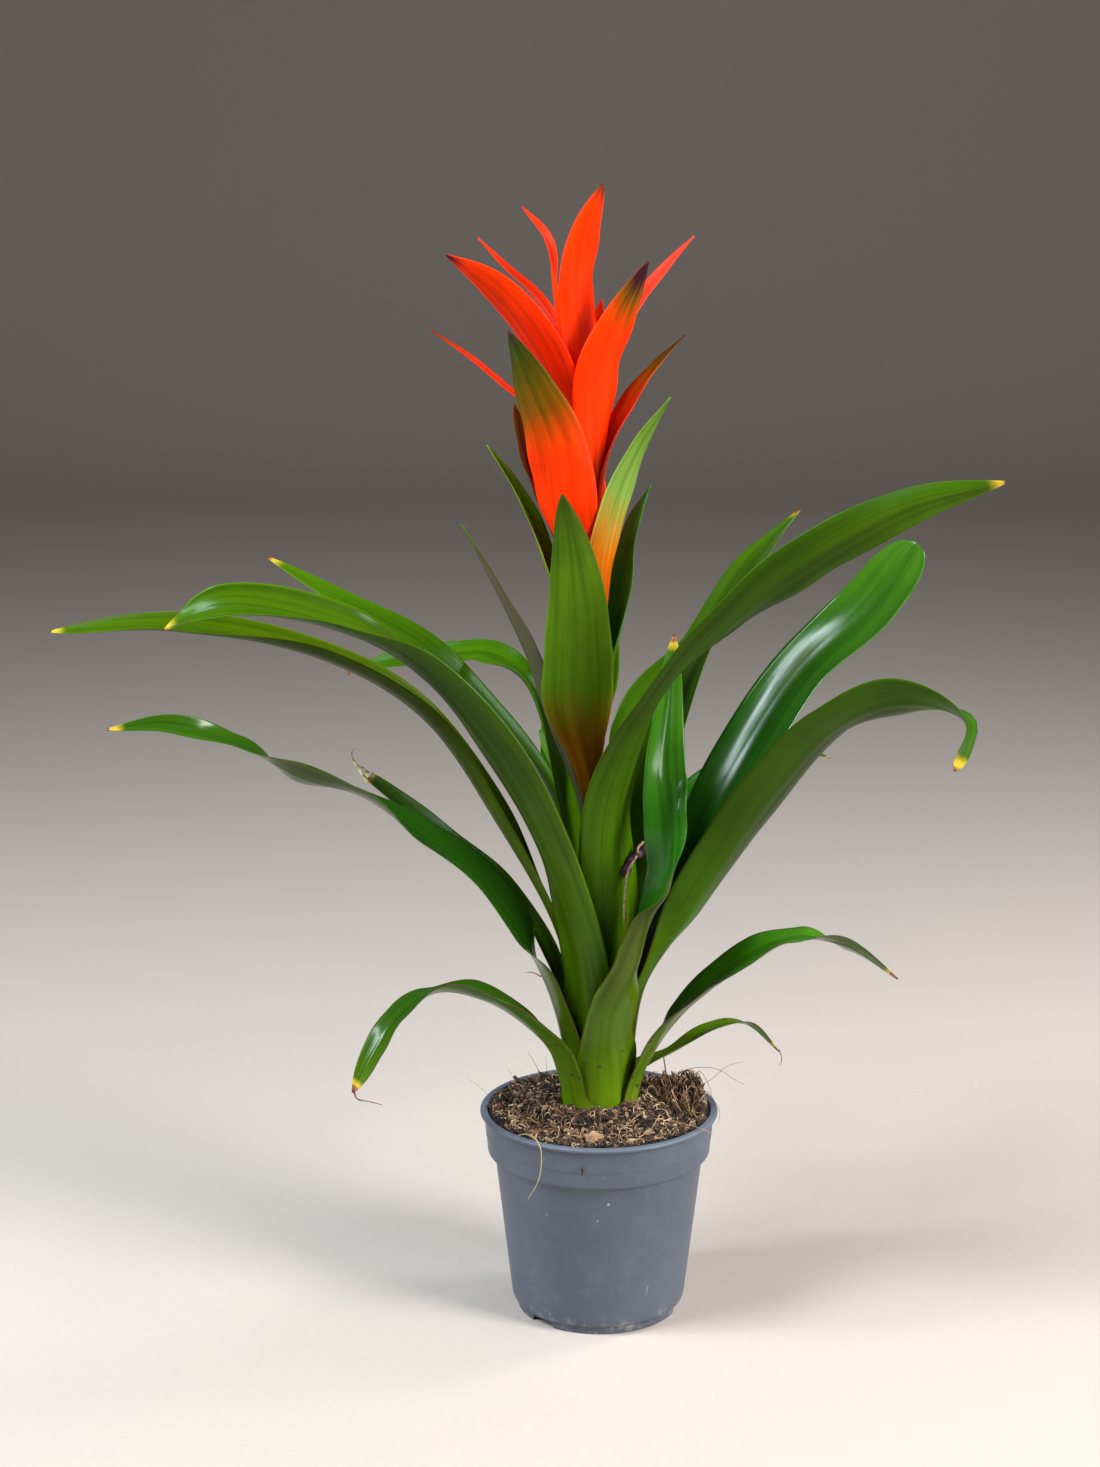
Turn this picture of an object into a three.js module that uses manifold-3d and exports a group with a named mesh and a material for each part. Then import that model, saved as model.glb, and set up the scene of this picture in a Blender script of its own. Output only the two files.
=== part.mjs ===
// Potted guzmania: a strap-leaved rosette with an orange flower stalk, in a round plastic nursery pot.
// Millimetres, +Z up. The origin is the centre of the pot's underside, on the surface that it stands on.
// +X is to the viewer's right and +Y away from the viewer. Plan directions are degrees: 0 right, 90 away,
// 180 left and 270 towards the viewer.
import * as THREE from 'three';
import { mergeVertices } from 'three/addons/utils/BufferGeometryUtils.js';
import Module from 'manifold-3d';

const wasm = await Module();
wasm.setup();

// Pot
const POT_HEIGHT = 105;
const LIP_RADIUS = 60;
const LIP_HEIGHT = 2.2;
const BAND_TOP_RADIUS = 57.8;
const BAND_BOTTOM_RADIUS = 56.2;
const BAND_HEIGHT = 21.5;
const WALL_TOP_RADIUS = 52.6;
const WALL_BOTTOM_RADIUS = 44;
const FOOT_RADIUS = 41.2;
const FOOT_HEIGHT = 3.6;
const FOOT_WIDTH = 3.4;
const WALL = 1.5;
const FLOOR = 1.8;
const HUB_RADIUS = 9;
const NOTCH_COUNT = 3;
const NOTCH_WIDTH = 15;
const NOTCH_DIRECTION = 226;
const DRAIN_COUNT = 6;
const DRAIN_RADIUS = 3.5;
const DRAIN_CIRCLE = 25;
const POT_SIDES = 40;

// Soil
const GAP = 0.3;
const SOIL_EDGE = 101.5;
const SOIL_HOLE_RADIUS = 19.9;
const SOIL_HOLE_MOUTH = 22.6;
const SOIL_HOLE_FLOOR = 96;
const MOUND_HEIGHT = 8.5;
const MOUND_RADIUS = 23;
const MOUND_WIDTH = 13;
const ROOT_HOLE_RADIUS = 7.4;
const ROOT_HOLE_FLOOR = 60;

// Leaves and bracts
const THICK = 0.7;
const SHEATH_FOOT = SOIL_HOLE_FLOOR + 0.8;
const CLASP_GAP = 0.4;
const SHEATH_RADIUS = 18.6;
const LAYER_STEP = 1.35;
const TIP_WIDTH = 1.2;
const LEAF_GROWTH = 0.25;
const BRACT_GROWTH = 0.35;
const SHEATH_FLARE = 0.15;
const LARGEST_HUG = 200;
const CURVE_SAMPLES = 400;
const LEAF_STATIONS = 14;
const LEAF_COLUMNS = 6;
const BRACT_STATIONS = 9;
const BRACT_COLUMNS = 4;
const ORANGE_FROM = 330;
const LEAF_CUP = [80, 70, 62, 52, 40];
const BRACT_CUP = [115, 80, 65, 50, 40];

// Ways a blade narrows from its base to its tip: width times (1 - t^power)^ease
const BLUNT = { power: 5, ease: 0.5 };
const POINTED = { power: 3.8, ease: 0.7 };
const SQUARE = { power: 9, ease: 0.45 };
const SLENDER = { power: 2.6, ease: 0.75 };

// The stem's middle line, x at a height, and its radius there. It leans a little to the left.
const STEM = [
  { z: ROOT_HOLE_FLOOR + GAP, x: 0, radius: 5.5 },
  { z: 97, x: 0, radius: 6.6 },
  { z: 200, x: -1, radius: 6.4 },
  { z: 235, x: -2.5, radius: 4.6 },
  { z: 290, x: -5, radius: 4.3 },
  { z: 400, x: -8.5, radius: 3.6 },
  { z: 440, x: -9.5, radius: 2.8 },
  { z: 464, x: -10, radius: 1.6 },
  { z: 476, x: -10, radius: 0.8 },
];

// Each leaf's sheath is centred on a plan direction and lies in a layer, 0 outermost. The rows are x, y, z
// and roll in degrees. Up to the first row, the neck, the leaf hugs the others, concentric with them.
// From there on it turns to face a plan direction and bends and rolls on its own.
const LEAVES = [
  { name: 'leaf_low_left', sheath: 207, layer: 0, wrap: 130,
    faces: 207, neckWidth: 28, width: 28, taper: POINTED,
    cup: [90, 100, 105, 95, 45, 50, 55, 45],
    path: [[-17, -9, 118, 0], [-24, -15, 140, 0], [-38, -24, 158, -5], [-57, -36, 174, -5],
      [-80, -46, 181, 18], [-97, -52, 171, 5], [-108, -56, 156, -10], [-120, -58, 134, -30]] },
  { name: 'leaf_low_right', sheath: 350, layer: 0, wrap: 85,
    faces: 335, neckWidth: 26, width: 26, taper: POINTED,
    cup: [90, 95, 85, 70, 40, 30, 35],
    path: [[24, -7, 131, 0], [37, -12, 154, 10], [54, -20, 175, 24], [75, -29, 194, 30],
      [95, -36, 205, 5], [119, -43, 203, -42], [143, -48, 188, -40]] },
  { name: 'leaf_low_small', sheath: 62, layer: 0, wrap: 50,
    faces: 35, neckWidth: 13, width: 13, taper: POINTED,
    path: [[13, 16, 116, 0], [37, 17, 128, -20], [57, 24, 138, -5], [76, 33, 138, -5], [94, 38, 121, 0]] },
  { name: 'leaf_low_back', sheath: 113, layer: 0, wrap: 45,
    faces: 95, neckWidth: 22, width: 22, taper: POINTED,
    path: [[-8, 20, 122, 0], [-5, 38, 146, 0], [-3, 66, 164, 5], [0, 96, 164, 10], [3, 122, 146, 10],
      [5, 138, 120, 5]] },
  { name: 'leaf_front', sheath: 290, layer: 1, wrap: 130,
    faces: 285, neckWidth: 26, width: 26, taper: POINTED,
    cup: [80, 130, 160, 130, 85, 60, 50, 40],
    path: [[5, -25, 156, 0], [17, -32, 190, 40], [23, -34, 211, 60], [32, -38, 235, 100],
      [32, -36, 264, 145], [30, -29, 290, 180], [32, -21, 319, 195], [35, -15, 351, 185]] },
  { name: 'leaf_back', sheath: 112, layer: 1, wrap: 60,
    faces: 98, neckWidth: 15, width: 27, taper: POINTED,
    path: [[-8, 20.5, 165, 0], [-14, 42, 216, 0], [-17, 70, 252, 5], [-19, 108, 272, 8],
      [-21, 150, 274, 8], [-23, 190, 254, 5]] },
  { name: 'leaf_left_twisted', sheath: 200, layer: 2, wrap: 105,
    faces: 200, neckWidth: 25, width: 25, taper: SLENDER,
    cup: [90, 75, 60, 60, 60, 60, 60, 50, 40],
    path: [[-25, -10, 170, 0], [-41, -18, 204, -40], [-61, -24, 234, -35], [-87, -30, 255, -30],
      [-115, -35, 276, 5], [-143, -40, 286, 40], [-171, -46, 303, -15], [-204, -52, 315, -75],
      [-232, -60, 314, -65]] },
  { name: 'leaf_right_low', sheath: 335, layer: 2, wrap: 130,
    faces: 328, neckWidth: 22, width: 42, taper: BLUNT,
    path: [[22, -9, 172, 0], [44, -14, 210, -10], [64, -20, 245, -15], [85, -28, 278, -20],
      [111, -36, 309, -20], [141, -44, 323, -40], [171, -53, 316, -15], [165, -60, 294, 10]] },
  { name: 'leaf_right_hidden', sheath: 62, layer: 2, wrap: 32,
    faces: 48, neckWidth: 14, width: 22, taper: POINTED,
    path: [[15, 17, 158, 0], [31, 20, 196, 0], [46, 28, 228, 0], [62, 32, 252, 0], [78, 34, 262, 0],
      [90, 34, 253, 0]] },
  { name: 'leaf_left_broken', sheath: 162, layer: 3, wrap: 106,
    faces: 165, neckWidth: 21, width: 21, taper: SQUARE,
    path: [[-24, 6, 180, 0], [-49, 8, 220, 5], [-83, 12, 247, 0], [-118, 15, 275, 0]] },
  { name: 'leaf_right_broad', sheath: 10, layer: 3, wrap: 98,
    faces: 28, neckWidth: 37, width: 37, taper: SQUARE,
    path: [[25, 5, 186, 0], [49, 10, 236, 5], [71, 20, 277, 20], [100, 33, 320, 15], [136, 46, 354, 25],
      [161, 66, 383, 45]] },
  { name: 'leaf_right_far', sheath: 88, layer: 3, wrap: 28,
    faces: 70, neckWidth: 10, width: 26, taper: POINTED,
    path: [[9, 23, 178, 0], [26, 55, 222, 0], [54, 90, 244, 5], [84, 134, 252, 10], [110, 180, 248, 10],
      [136, 222, 234, 5]] },
  { name: 'leaf_left_arch', sheath: 245, layer: 4, wrap: 150,
    faces: 215, neckWidth: 26, width: 36, taper: BLUNT,
    cup: [80, 95, 112, 118, 115, 100, 70],
    path: [[-9, -23, 190, 0], [-27, -33, 247, 0], [-52, -41, 296, 10], [-85, -46, 337, 0],
      [-120, -50, 359, -25], [-176, -53, 371, -35], [-205, -54, 360, 10]] },
  { name: 'leaf_left_long', sheath: 190, layer: 5, wrap: 118,
    faces: 188, neckWidth: 22, width: 33, taper: POINTED,
    cup: [90, 110, 115, 110, 90, 60],
    path: [[-20, -4, 195, 0], [-51, -6, 256, -5], [-87, -12, 310, 0], [-133, -17, 339, 0],
      [-204, -20, 355, -15], [-264, -20, 353, -25]] },
  { name: 'leaf_right_back', sheath: 22, layer: 5, wrap: 150,
    faces: 45, neckWidth: 40, width: 40, taper: POINTED,
    path: [[22, 9, 200, 0], [28, 10, 250, -20], [25, 22, 293, 25], [54, 40, 337, -20], [79, 62, 374, -15],
      [104, 88, 397, -20]] },
  { name: 'leaf_right_arch', sheath: 285, layer: 6, wrap: 150,
    faces: 318, neckWidth: 32, width: 32, taper: POINTED,
    path: [[6, -18, 205, 0], [6, -34, 271, -10], [28, -50, 329, 15], [58, -64, 364, -10],
      [91, -77, 395, -45], [135, -87, 422, -80], [178, -96, 435, -60]] },
  { name: 'leaf_back_short', sheath: 100, layer: 6, wrap: 110,
    faces: 110, neckWidth: 21, width: 21, taper: POINTED,
    path: [[-5, 21, 202, 0], [-9, 28, 238, 70], [-17, 36, 262, 50], [-30, 46, 290, 20]] },
  { name: 'leaf_left_back', sheath: 160, layer: 7, wrap: 150,
    faces: 165, neckWidth: 20, width: 28, taper: POINTED,
    path: [[-17, 5, 212, 0], [-24, 11, 263, 10], [-54, 21, 304, 5], [-89, 31, 336, -10],
      [-128, 38, 357, -15], [-166, 44, 379, -10]] },
  { name: 'leaf_left_short', sheath: 140, layer: 8, wrap: 150,
    faces: 145, neckWidth: 21, width: 21, taper: POINTED,
    path: [[-10, 11, 215, 0], [-34, 14, 317, 20], [-53, 35, 330, -25], [-74, 56, 327, -40],
      [-106, 68, 322, -50], [-129, 76, 313, -40]] },
];

// Each bract clasps the stem at a height, and follows rows like a leaf's. It hugs the stem up to its neck.
const BRACTS = [
  { name: 'bract_01', height: 256, wrap: 80, faces: 190, neckWidth: 13, width: 24,
    path: [[-12, 0, 270, 0], [-24, -2, 302, 10], [-35, -6, 338, 15], [-50, -10, 371, 10],
      [-67, -14, 404, 10]] },
  { name: 'bract_02', height: 262, wrap: 86, faces: 270, neckWidth: 14, width: 38,
    cup: [85, 62, 52, 45, 40],
    path: [[-5, -10, 276, 0], [-11, -19, 310, 0], [-11, -23, 346, 0], [-13, -26, 383, 0],
      [-19, -26, 420, 0]] },
  { name: 'bract_03', height: 272, wrap: 90, faces: 95, neckWidth: 17, width: 31,
    path: [[-5, 10, 296, 0], [-4, 16, 322, 0], [-5, 22, 355, 0], [-6, 25, 385, 0], [-8, 24, 408, 0]] },
  { name: 'bract_04', height: 290, wrap: 100, faces: 5, neckWidth: 17, width: 27,
    path: [[3, 1, 314, 0], [7, 2, 345, 15], [11, 3, 372, 30], [16, 5, 400, 20], [24, 7, 420, 5]] },
  { name: 'bract_05', height: 305, wrap: 90, faces: 180, neckWidth: 15, width: 19,
    path: [[-15, 1, 330, 0], [-23, 1, 369, -10], [-32, 2, 400, -25], [-44, 2, 424, -20],
      [-55, 2, 440, -10]] },
  { name: 'bract_06', height: 322, wrap: 90, faces: 335, neckWidth: 14, width: 22,
    path: [[1, -4, 346, 0], [1, -10, 378, -20], [8, -15, 414, -25], [18, -18, 441, -20],
      [32, -20, 465, -10]] },
  { name: 'bract_07', height: 332, wrap: 84, faces: 84, neckWidth: 16, width: 25,
    path: [[-6, 10, 358, 0], [-7, 16, 380, 0], [-7, 21, 405, 0], [-6, 24, 428, 0], [-9, 24, 448, 0]] },
  { name: 'bract_08', height: 342, wrap: 80, faces: 165, neckWidth: 14, width: 23,
    path: [[-16, 4, 364, 0], [-23, 7, 396, 5], [-32, 8, 418, 0], [-38, 9, 438, -15], [-42, 9, 459, -30]] },
  { name: 'bract_09', height: 352, wrap: 96, faces: 258, neckWidth: 18, width: 35,
    path: [[-11, -9, 378, 0], [-18, -17, 412, -10], [-22, -20, 442, 5], [-33, -22, 470, -5],
      [-44, -22, 496, -25]] },
  { name: 'bract_10', height: 364, wrap: 90, faces: 110, neckWidth: 15, width: 26,
    path: [[-11, 8, 390, 0], [-12, 13, 408, 0], [-14, 17, 434, 0], [-16, 19, 458, 0], [-17, 18, 476, 0]] },
  { name: 'bract_11', height: 378, wrap: 80, faces: 10, neckWidth: 13, width: 20,
    path: [[-1, 1, 402, 0], [3, 2, 436, 5], [14, 4, 460, 15], [26, 6, 477, 10], [40, 8, 492, -5]] },
  { name: 'bract_12', height: 384, wrap: 90, faces: 300, neckWidth: 13, width: 28,
    path: [[-5, -6, 410, 0], [-2, -10, 440, 20], [-1, -15, 478, -5], [9, -18, 503, -15],
      [21, -20, 528, 5]] },
  { name: 'bract_13', height: 392, wrap: 60, faces: 165, neckWidth: 7, width: 9,
    path: [[-16, 2, 420, 0], [-26, 3, 450, -10], [-45, 6, 466, -5], [-63, 9, 481, -10],
      [-82, 12, 494, -15]] },
  { name: 'bract_14', height: 396, wrap: 70, faces: 78, neckWidth: 11, width: 18,
    path: [[-7, 7, 420, 0], [-6, 11, 440, 0], [-5, 14, 466, 0], [-3, 16, 488, 0], [0, 17, 508, 0]] },
  { name: 'bract_15', height: 402, wrap: 80, faces: 225, neckWidth: 11, width: 28,
    path: [[-13, -4, 426, 0], [-19, -7, 462, -10], [-33, -15, 494, 15], [-52, -19, 517, 35],
      [-73, -22, 531, 25]] },
  { name: 'bract_16', height: 420, wrap: 60, faces: 52, neckWidth: 7, width: 12,
    path: [[-5, 5, 442, 0], [2, 6, 478, 0], [14, 8, 503, 0], [29, 12, 522, 0], [44, 16, 538, 0]] },
  { name: 'bract_17', height: 428, wrap: 50, faces: 140, neckWidth: 6, width: 9,
    path: [[-14, 5, 450, 0], [-19, 8, 490, 0], [-31, 12, 510, -5], [-45, 14, 523, -10],
      [-59, 16, 537, -10]] },
  { name: 'bract_18', height: 425, wrap: 80, faces: 280, neckWidth: 9, width: 26,
    path: [[-9, -5, 448, 0], [-8, -7, 482, 30], [-11, -9, 516, 25], [-8, -11, 541, 0],
      [0, -11, 563, -10]] },
  { name: 'bract_19', height: 440, wrap: 50, faces: 85, neckWidth: 7, width: 11,
    path: [[-9, 5, 462, 0], [-8, 8, 480, 0], [-9, 10, 502, 0], [-10, 12, 522, 0], [-12, 12, 540, 0]] },
  { name: 'bract_20', height: 450, wrap: 50, faces: 178, neckWidth: 8, width: 15,
    path: [[-15, 0, 470, 0], [-20, 1, 490, 5], [-23, 4, 515, 0], [-26, 7, 537, -25], [-38, 10, 552, -25]] },
];

const toRadians = THREE.MathUtils.degToRad;
const toDegrees = THREE.MathUtils.radToDeg;
const lerp = THREE.MathUtils.lerp;
const clamp = THREE.MathUtils.clamp;

function ease(t) {
  const u = clamp(t, 0, 1);
  return u * u * (3 - 2 * u);
}

// The value at a fractional place in a list, eased from one entry to the next
function valueAt(list, place) {
  const i = clamp(Math.floor(place), 0, list.length - 2);
  return lerp(list[i], list[i + 1], ease(place - i));
}

// A list of cup angles spread over a number of path rows
function spread(list, count) {
  const step = (list.length - 1) / (count - 1);
  return Array.from({ length: count }, (_, i) => {
    const k = Math.min(Math.floor(i * step), list.length - 2);
    return lerp(list[k], list[k + 1], i * step - k);
  });
}

function stemAt(z) {
  const next = STEM.findIndex((row) => row.z >= z);
  const above = next < 0 ? STEM.length - 1 : Math.max(1, next);
  const a = STEM[above - 1];
  const b = STEM[above];
  const t = clamp((z - a.z) / (b.z - a.z), 0, 1);
  return { x: lerp(a.x, b.x, t), radius: lerp(a.radius, b.radius, t) };
}

function meshGeometry(points, triangles) {
  const geometry = new THREE.BufferGeometry();
  geometry.setAttribute('position', new THREE.Float32BufferAttribute(points.flat(), 3));
  geometry.setIndex(triangles.flat());
  return geometry;
}

// A thin closed blade: rows of points across the blade, on its upper and lower face, split alike
function bladeGeometry(stations) {
  const rows = stations.length;
  const columns = stations[0].upper.length;
  const rims = stations.flatMap((station) => [...station.upper, ...station.lower]);
  const points = rims.map((point) => point.toArray());
  const upper = (i, j) => i * 2 * columns + j;
  const lower = (i, j) => i * 2 * columns + columns + j;
  const triangles = [];
  const quad = (a, b, c, d) => triangles.push([a, b, c], [a, c, d]);
  for (let i = 0; i < rows - 1; i += 1) {
    for (let j = 0; j < columns - 1; j += 1) {
      quad(upper(i, j), upper(i + 1, j), upper(i + 1, j + 1), upper(i, j + 1));
      triangles.push([lower(i, j), lower(i + 1, j + 1), lower(i + 1, j)]);
      triangles.push([lower(i, j), lower(i, j + 1), lower(i + 1, j + 1)]);
    }
    quad(upper(i, 0), lower(i, 0), lower(i + 1, 0), upper(i + 1, 0));
    const k = columns - 1;
    quad(upper(i, k), upper(i + 1, k), lower(i + 1, k), lower(i, k));
  }
  for (let j = 0; j < columns - 1; j += 1) {
    quad(upper(0, j), upper(0, j + 1), lower(0, j + 1), lower(0, j));
    const k = rows - 1;
    quad(upper(k, j), lower(k, j), lower(k, j + 1), upper(k, j + 1));
  }
  return meshGeometry(points, triangles);
}

// Sweeps a cupped section along control points. shape gives facing, width, roll and cup at each station.
function sweepBlade(controls, stationCount, columnCount, shape) {
  const curve = new THREE.CatmullRomCurve3(controls, false, 'centripetal');
  const middles = [];
  const places = [];
  for (let i = 0; i <= stationCount; i += 1) {
    const t = curve.getUtoTmapping(i / stationCount);
    middles.push(curve.getPoint(t));
    places.push(t * (controls.length - 1));
  }
  const stations = middles.map((middle, i) => {
    const before = middles[Math.max(i - 1, 0)];
    const after = middles[Math.min(i + 1, stationCount)];
    const along = after.clone().sub(before).normalize();
    const { facing, width, roll, cup } = shape(places[i], i / stationCount, middle);
    const side = new THREE.Vector3(-Math.sin(toRadians(facing)), Math.cos(toRadians(facing)), 0);
    side.addScaledVector(along, -side.dot(along)).normalize();
    side.applyAxisAngle(along, toRadians(roll));
    const inward = along.clone().cross(side);
    const radius = width / toRadians(cup);
    const station = { upper: [], lower: [] };
    for (let j = 0; j <= columnCount; j += 1) {
      const angle = toRadians(cup) * (j / columnCount - 0.5);
      const normal = inward.clone().multiplyScalar(Math.cos(angle)).addScaledVector(side, -Math.sin(angle));
      const point = middle.clone().addScaledVector(inward, radius).addScaledVector(normal, -radius);
      station.upper.push(point.clone().addScaledVector(normal, THICK / 2));
      station.lower.push(point.clone().addScaledVector(normal, -THICK / 2));
    }
    return station;
  });
  return bladeGeometry(stations);
}

function taperAt(taper, t) {
  return Math.max(1 - clamp(t, 0, 1) ** taper.power, 0) ** taper.ease;
}

function controlsOf(piece, feet) {
  return [...feet, ...piece.path.map(([x, y, z]) => new THREE.Vector3(x, y, z))];
}

// How a leaf or bract goes: from its feet to its neck it hugs the stem's middle line, then it is free
function growthShape(piece, feet, footWidth, growth, middleAt) {
  const controls = controlsOf(piece, feet);
  const lengths = new THREE.CatmullRomCurve3(controls, false, 'centripetal').getLengths(CURVE_SAMPLES);
  const neckSample = Math.round((CURVE_SAMPLES * feet.length) / (controls.length - 1));
  const neckShare = lengths[neckSample] / lengths[CURVE_SAMPLES];
  const widths = [...feet.map(() => footWidth), piece.neckWidth];
  const cups = spread(piece.cup ?? (piece.height ? BRACT_CUP : LEAF_CUP), piece.path.length);
  const rolls = piece.path.map((row) => row[3]);
  return (place, share, middle) => {
    const t = (share - neckShare) / (1 - neckShare);
    const free = ease(place - feet.length);
    const across = middle.x - middleAt(middle.z);
    const around = toDegrees(Math.atan2(middle.y, across));
    const turn = ((piece.faces - around + 540) % 360) - 180;
    const spreadWidth = lerp(piece.neckWidth, piece.width, ease(t / growth));
    const grown = spreadWidth * taperAt(piece.taper ?? SLENDER, t);
    const width = Math.max(t < 0 ? valueAt(widths, place) : grown, TIP_WIDTH);
    const hug = Math.min(toDegrees(width / Math.hypot(across, middle.y)), LARGEST_HUG);
    const along = Math.max(place - feet.length, 0);
    return {
      facing: around + turn * free,
      width,
      roll: valueAt(rolls, along) * free,
      cup: lerp(hug, valueAt(cups, along), free),
    };
  };
}

function leafGeometry(leaf) {
  const [x, y, z] = leaf.path[0];
  const radius = SHEATH_RADIUS - LAYER_STEP * leaf.layer;
  const turn = ((toDegrees(Math.atan2(y, x)) - leaf.sheath + 540) % 360) - 180;
  const at = (direction, reach, height) => new THREE.Vector3(
    reach * Math.cos(toRadians(direction)),
    reach * Math.sin(toRadians(direction)),
    height,
  );
  const feet = [
    at(leaf.sheath, radius, SHEATH_FOOT),
    at(leaf.sheath + turn / 4, lerp(radius, Math.hypot(x, y), SHEATH_FLARE), (SHEATH_FOOT + z) / 2),
  ];
  const shape = growthShape(leaf, feet, radius * toRadians(leaf.wrap), LEAF_GROWTH, () => 0);
  return sweepBlade(controlsOf(leaf, feet), LEAF_STATIONS, LEAF_COLUMNS, shape);
}

function bractGeometry(bract) {
  const stem = stemAt(bract.height);
  const clasp = stem.radius + CLASP_GAP + THICK / 2;
  const direction = toRadians(bract.faces);
  const x = stem.x + clasp * Math.cos(direction);
  const foot = new THREE.Vector3(x, clasp * Math.sin(direction), bract.height);
  const shape = growthShape(bract, [foot], clasp * toRadians(bract.wrap), BRACT_GROWTH, (z) => stemAt(z).x);
  return sweepBlade(controlsOf(bract, [foot]), BRACT_STATIONS, BRACT_COLUMNS, shape);
}

function solidOf(geometry) {
  const bare = geometry.clone();
  bare.deleteAttribute('normal');
  bare.deleteAttribute('uv');
  const merged = mergeVertices(bare, 1e-4);
  const mesh = new wasm.Mesh({
    numProp: 3,
    vertProperties: new Float32Array(merged.attributes.position.array),
    triVerts: new Uint32Array(merged.index.array),
  });
  return new wasm.Manifold(mesh);
}

function geometryOf(solid) {
  const mesh = solid.getMesh();
  const geometry = new THREE.BufferGeometry();
  geometry.setAttribute('position', new THREE.BufferAttribute(new Float32Array(mesh.vertProperties), 3));
  geometry.setIndex(new THREE.BufferAttribute(new Uint32Array(mesh.triVerts), 1));
  return geometry;
}

// A lathe about +Z from rows of radius and height
function turned(rows, sides) {
  const profile = rows.map(([radius, z]) => new THREE.Vector2(radius, z));
  return new THREE.LatheGeometry(profile, sides).rotateX(Math.PI / 2);
}

function potGeometry() {
  const bandBottom = POT_HEIGHT - BAND_HEIGHT;
  const lipBottom = POT_HEIGHT - LIP_HEIGHT;
  const floorTop = FOOT_HEIGHT + FLOOR;
  const outside = [
    [0, 0],
    [HUB_RADIUS, 0],
    [HUB_RADIUS + 1.5, FOOT_HEIGHT],
    [FOOT_RADIUS - FOOT_WIDTH, FOOT_HEIGHT],
    [FOOT_RADIUS - FOOT_WIDTH, 0],
    [FOOT_RADIUS, 0],
    [FOOT_RADIUS, FOOT_HEIGHT],
    [WALL_BOTTOM_RADIUS - 0.8, FOOT_HEIGHT + 1.4],
    [WALL_BOTTOM_RADIUS, FOOT_HEIGHT + 4],
    [WALL_TOP_RADIUS, bandBottom - 2],
    [BAND_BOTTOM_RADIUS, bandBottom],
    [BAND_TOP_RADIUS, lipBottom],
    [LIP_RADIUS - 0.5, lipBottom],
    [LIP_RADIUS, lipBottom + 0.7],
    [LIP_RADIUS, POT_HEIGHT - 0.6],
    [LIP_RADIUS - 0.7, POT_HEIGHT],
  ];
  const inside = [
    [BAND_TOP_RADIUS - WALL, POT_HEIGHT],
    [BAND_BOTTOM_RADIUS - WALL, bandBottom + WALL],
    [WALL_TOP_RADIUS - WALL, bandBottom - 2 + WALL],
    [WALL_BOTTOM_RADIUS - WALL, floorTop + 2],
    [WALL_BOTTOM_RADIUS - WALL - 2, floorTop],
    [0, floorTop],
  ];
  let pot = solidOf(turned([...outside, ...inside], POT_SIDES));
  const drill = new THREE.CylinderGeometry(DRAIN_RADIUS, DRAIN_RADIUS, 20, 10).rotateX(Math.PI / 2);
  for (let k = 0; k < DRAIN_COUNT; k += 1) {
    const angle = (2 * Math.PI * k) / DRAIN_COUNT;
    const hole = drill.clone().translate(DRAIN_CIRCLE * Math.cos(angle), DRAIN_CIRCLE * Math.sin(angle), 5);
    pot = pot.subtract(solidOf(hole));
  }
  const half = NOTCH_WIDTH / 2;
  const outline = new THREE.Shape([
    new THREE.Vector2(-half, -1),
    new THREE.Vector2(half, -1),
    new THREE.Vector2(half - 1.5, FOOT_HEIGHT - 0.6),
    new THREE.Vector2(1.5 - half, FOOT_HEIGHT - 0.6),
  ]);
  const cutter = new THREE.ExtrudeGeometry(outline, { depth: 12, bevelEnabled: false });
  cutter.rotateX(Math.PI / 2).translate(0, FOOT_RADIUS + 5, 0).rotateZ(-Math.PI / 2);
  for (let k = 0; k < NOTCH_COUNT; k += 1) {
    const angle = toRadians(NOTCH_DIRECTION) + (2 * Math.PI * k) / NOTCH_COUNT;
    pot = pot.subtract(solidOf(cutter.clone().rotateZ(angle)));
  }
  return geometryOf(pot);
}

// The soil's surface: low at the wall, mounded round the plant, with clumps at the right and left rear
function soilTop(x, y) {
  const clump = (cx, cy, size, height) => height * Math.exp(-((x - cx) ** 2 + (y - cy) ** 2) / size ** 2);
  const waves = 0.7 * Math.sin(x * 0.31 + 1) * Math.cos(y * 0.27) + 0.5 * Math.sin(x * 0.13 - y * 0.37);
  const mound = MOUND_HEIGHT * Math.exp(-(((Math.hypot(x, y) - MOUND_RADIUS) / MOUND_WIDTH) ** 2));
  return SOIL_EDGE + waves + mound + clump(42, 14, 15, 5) + clump(-30, 32, 14, 2.5);
}

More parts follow.
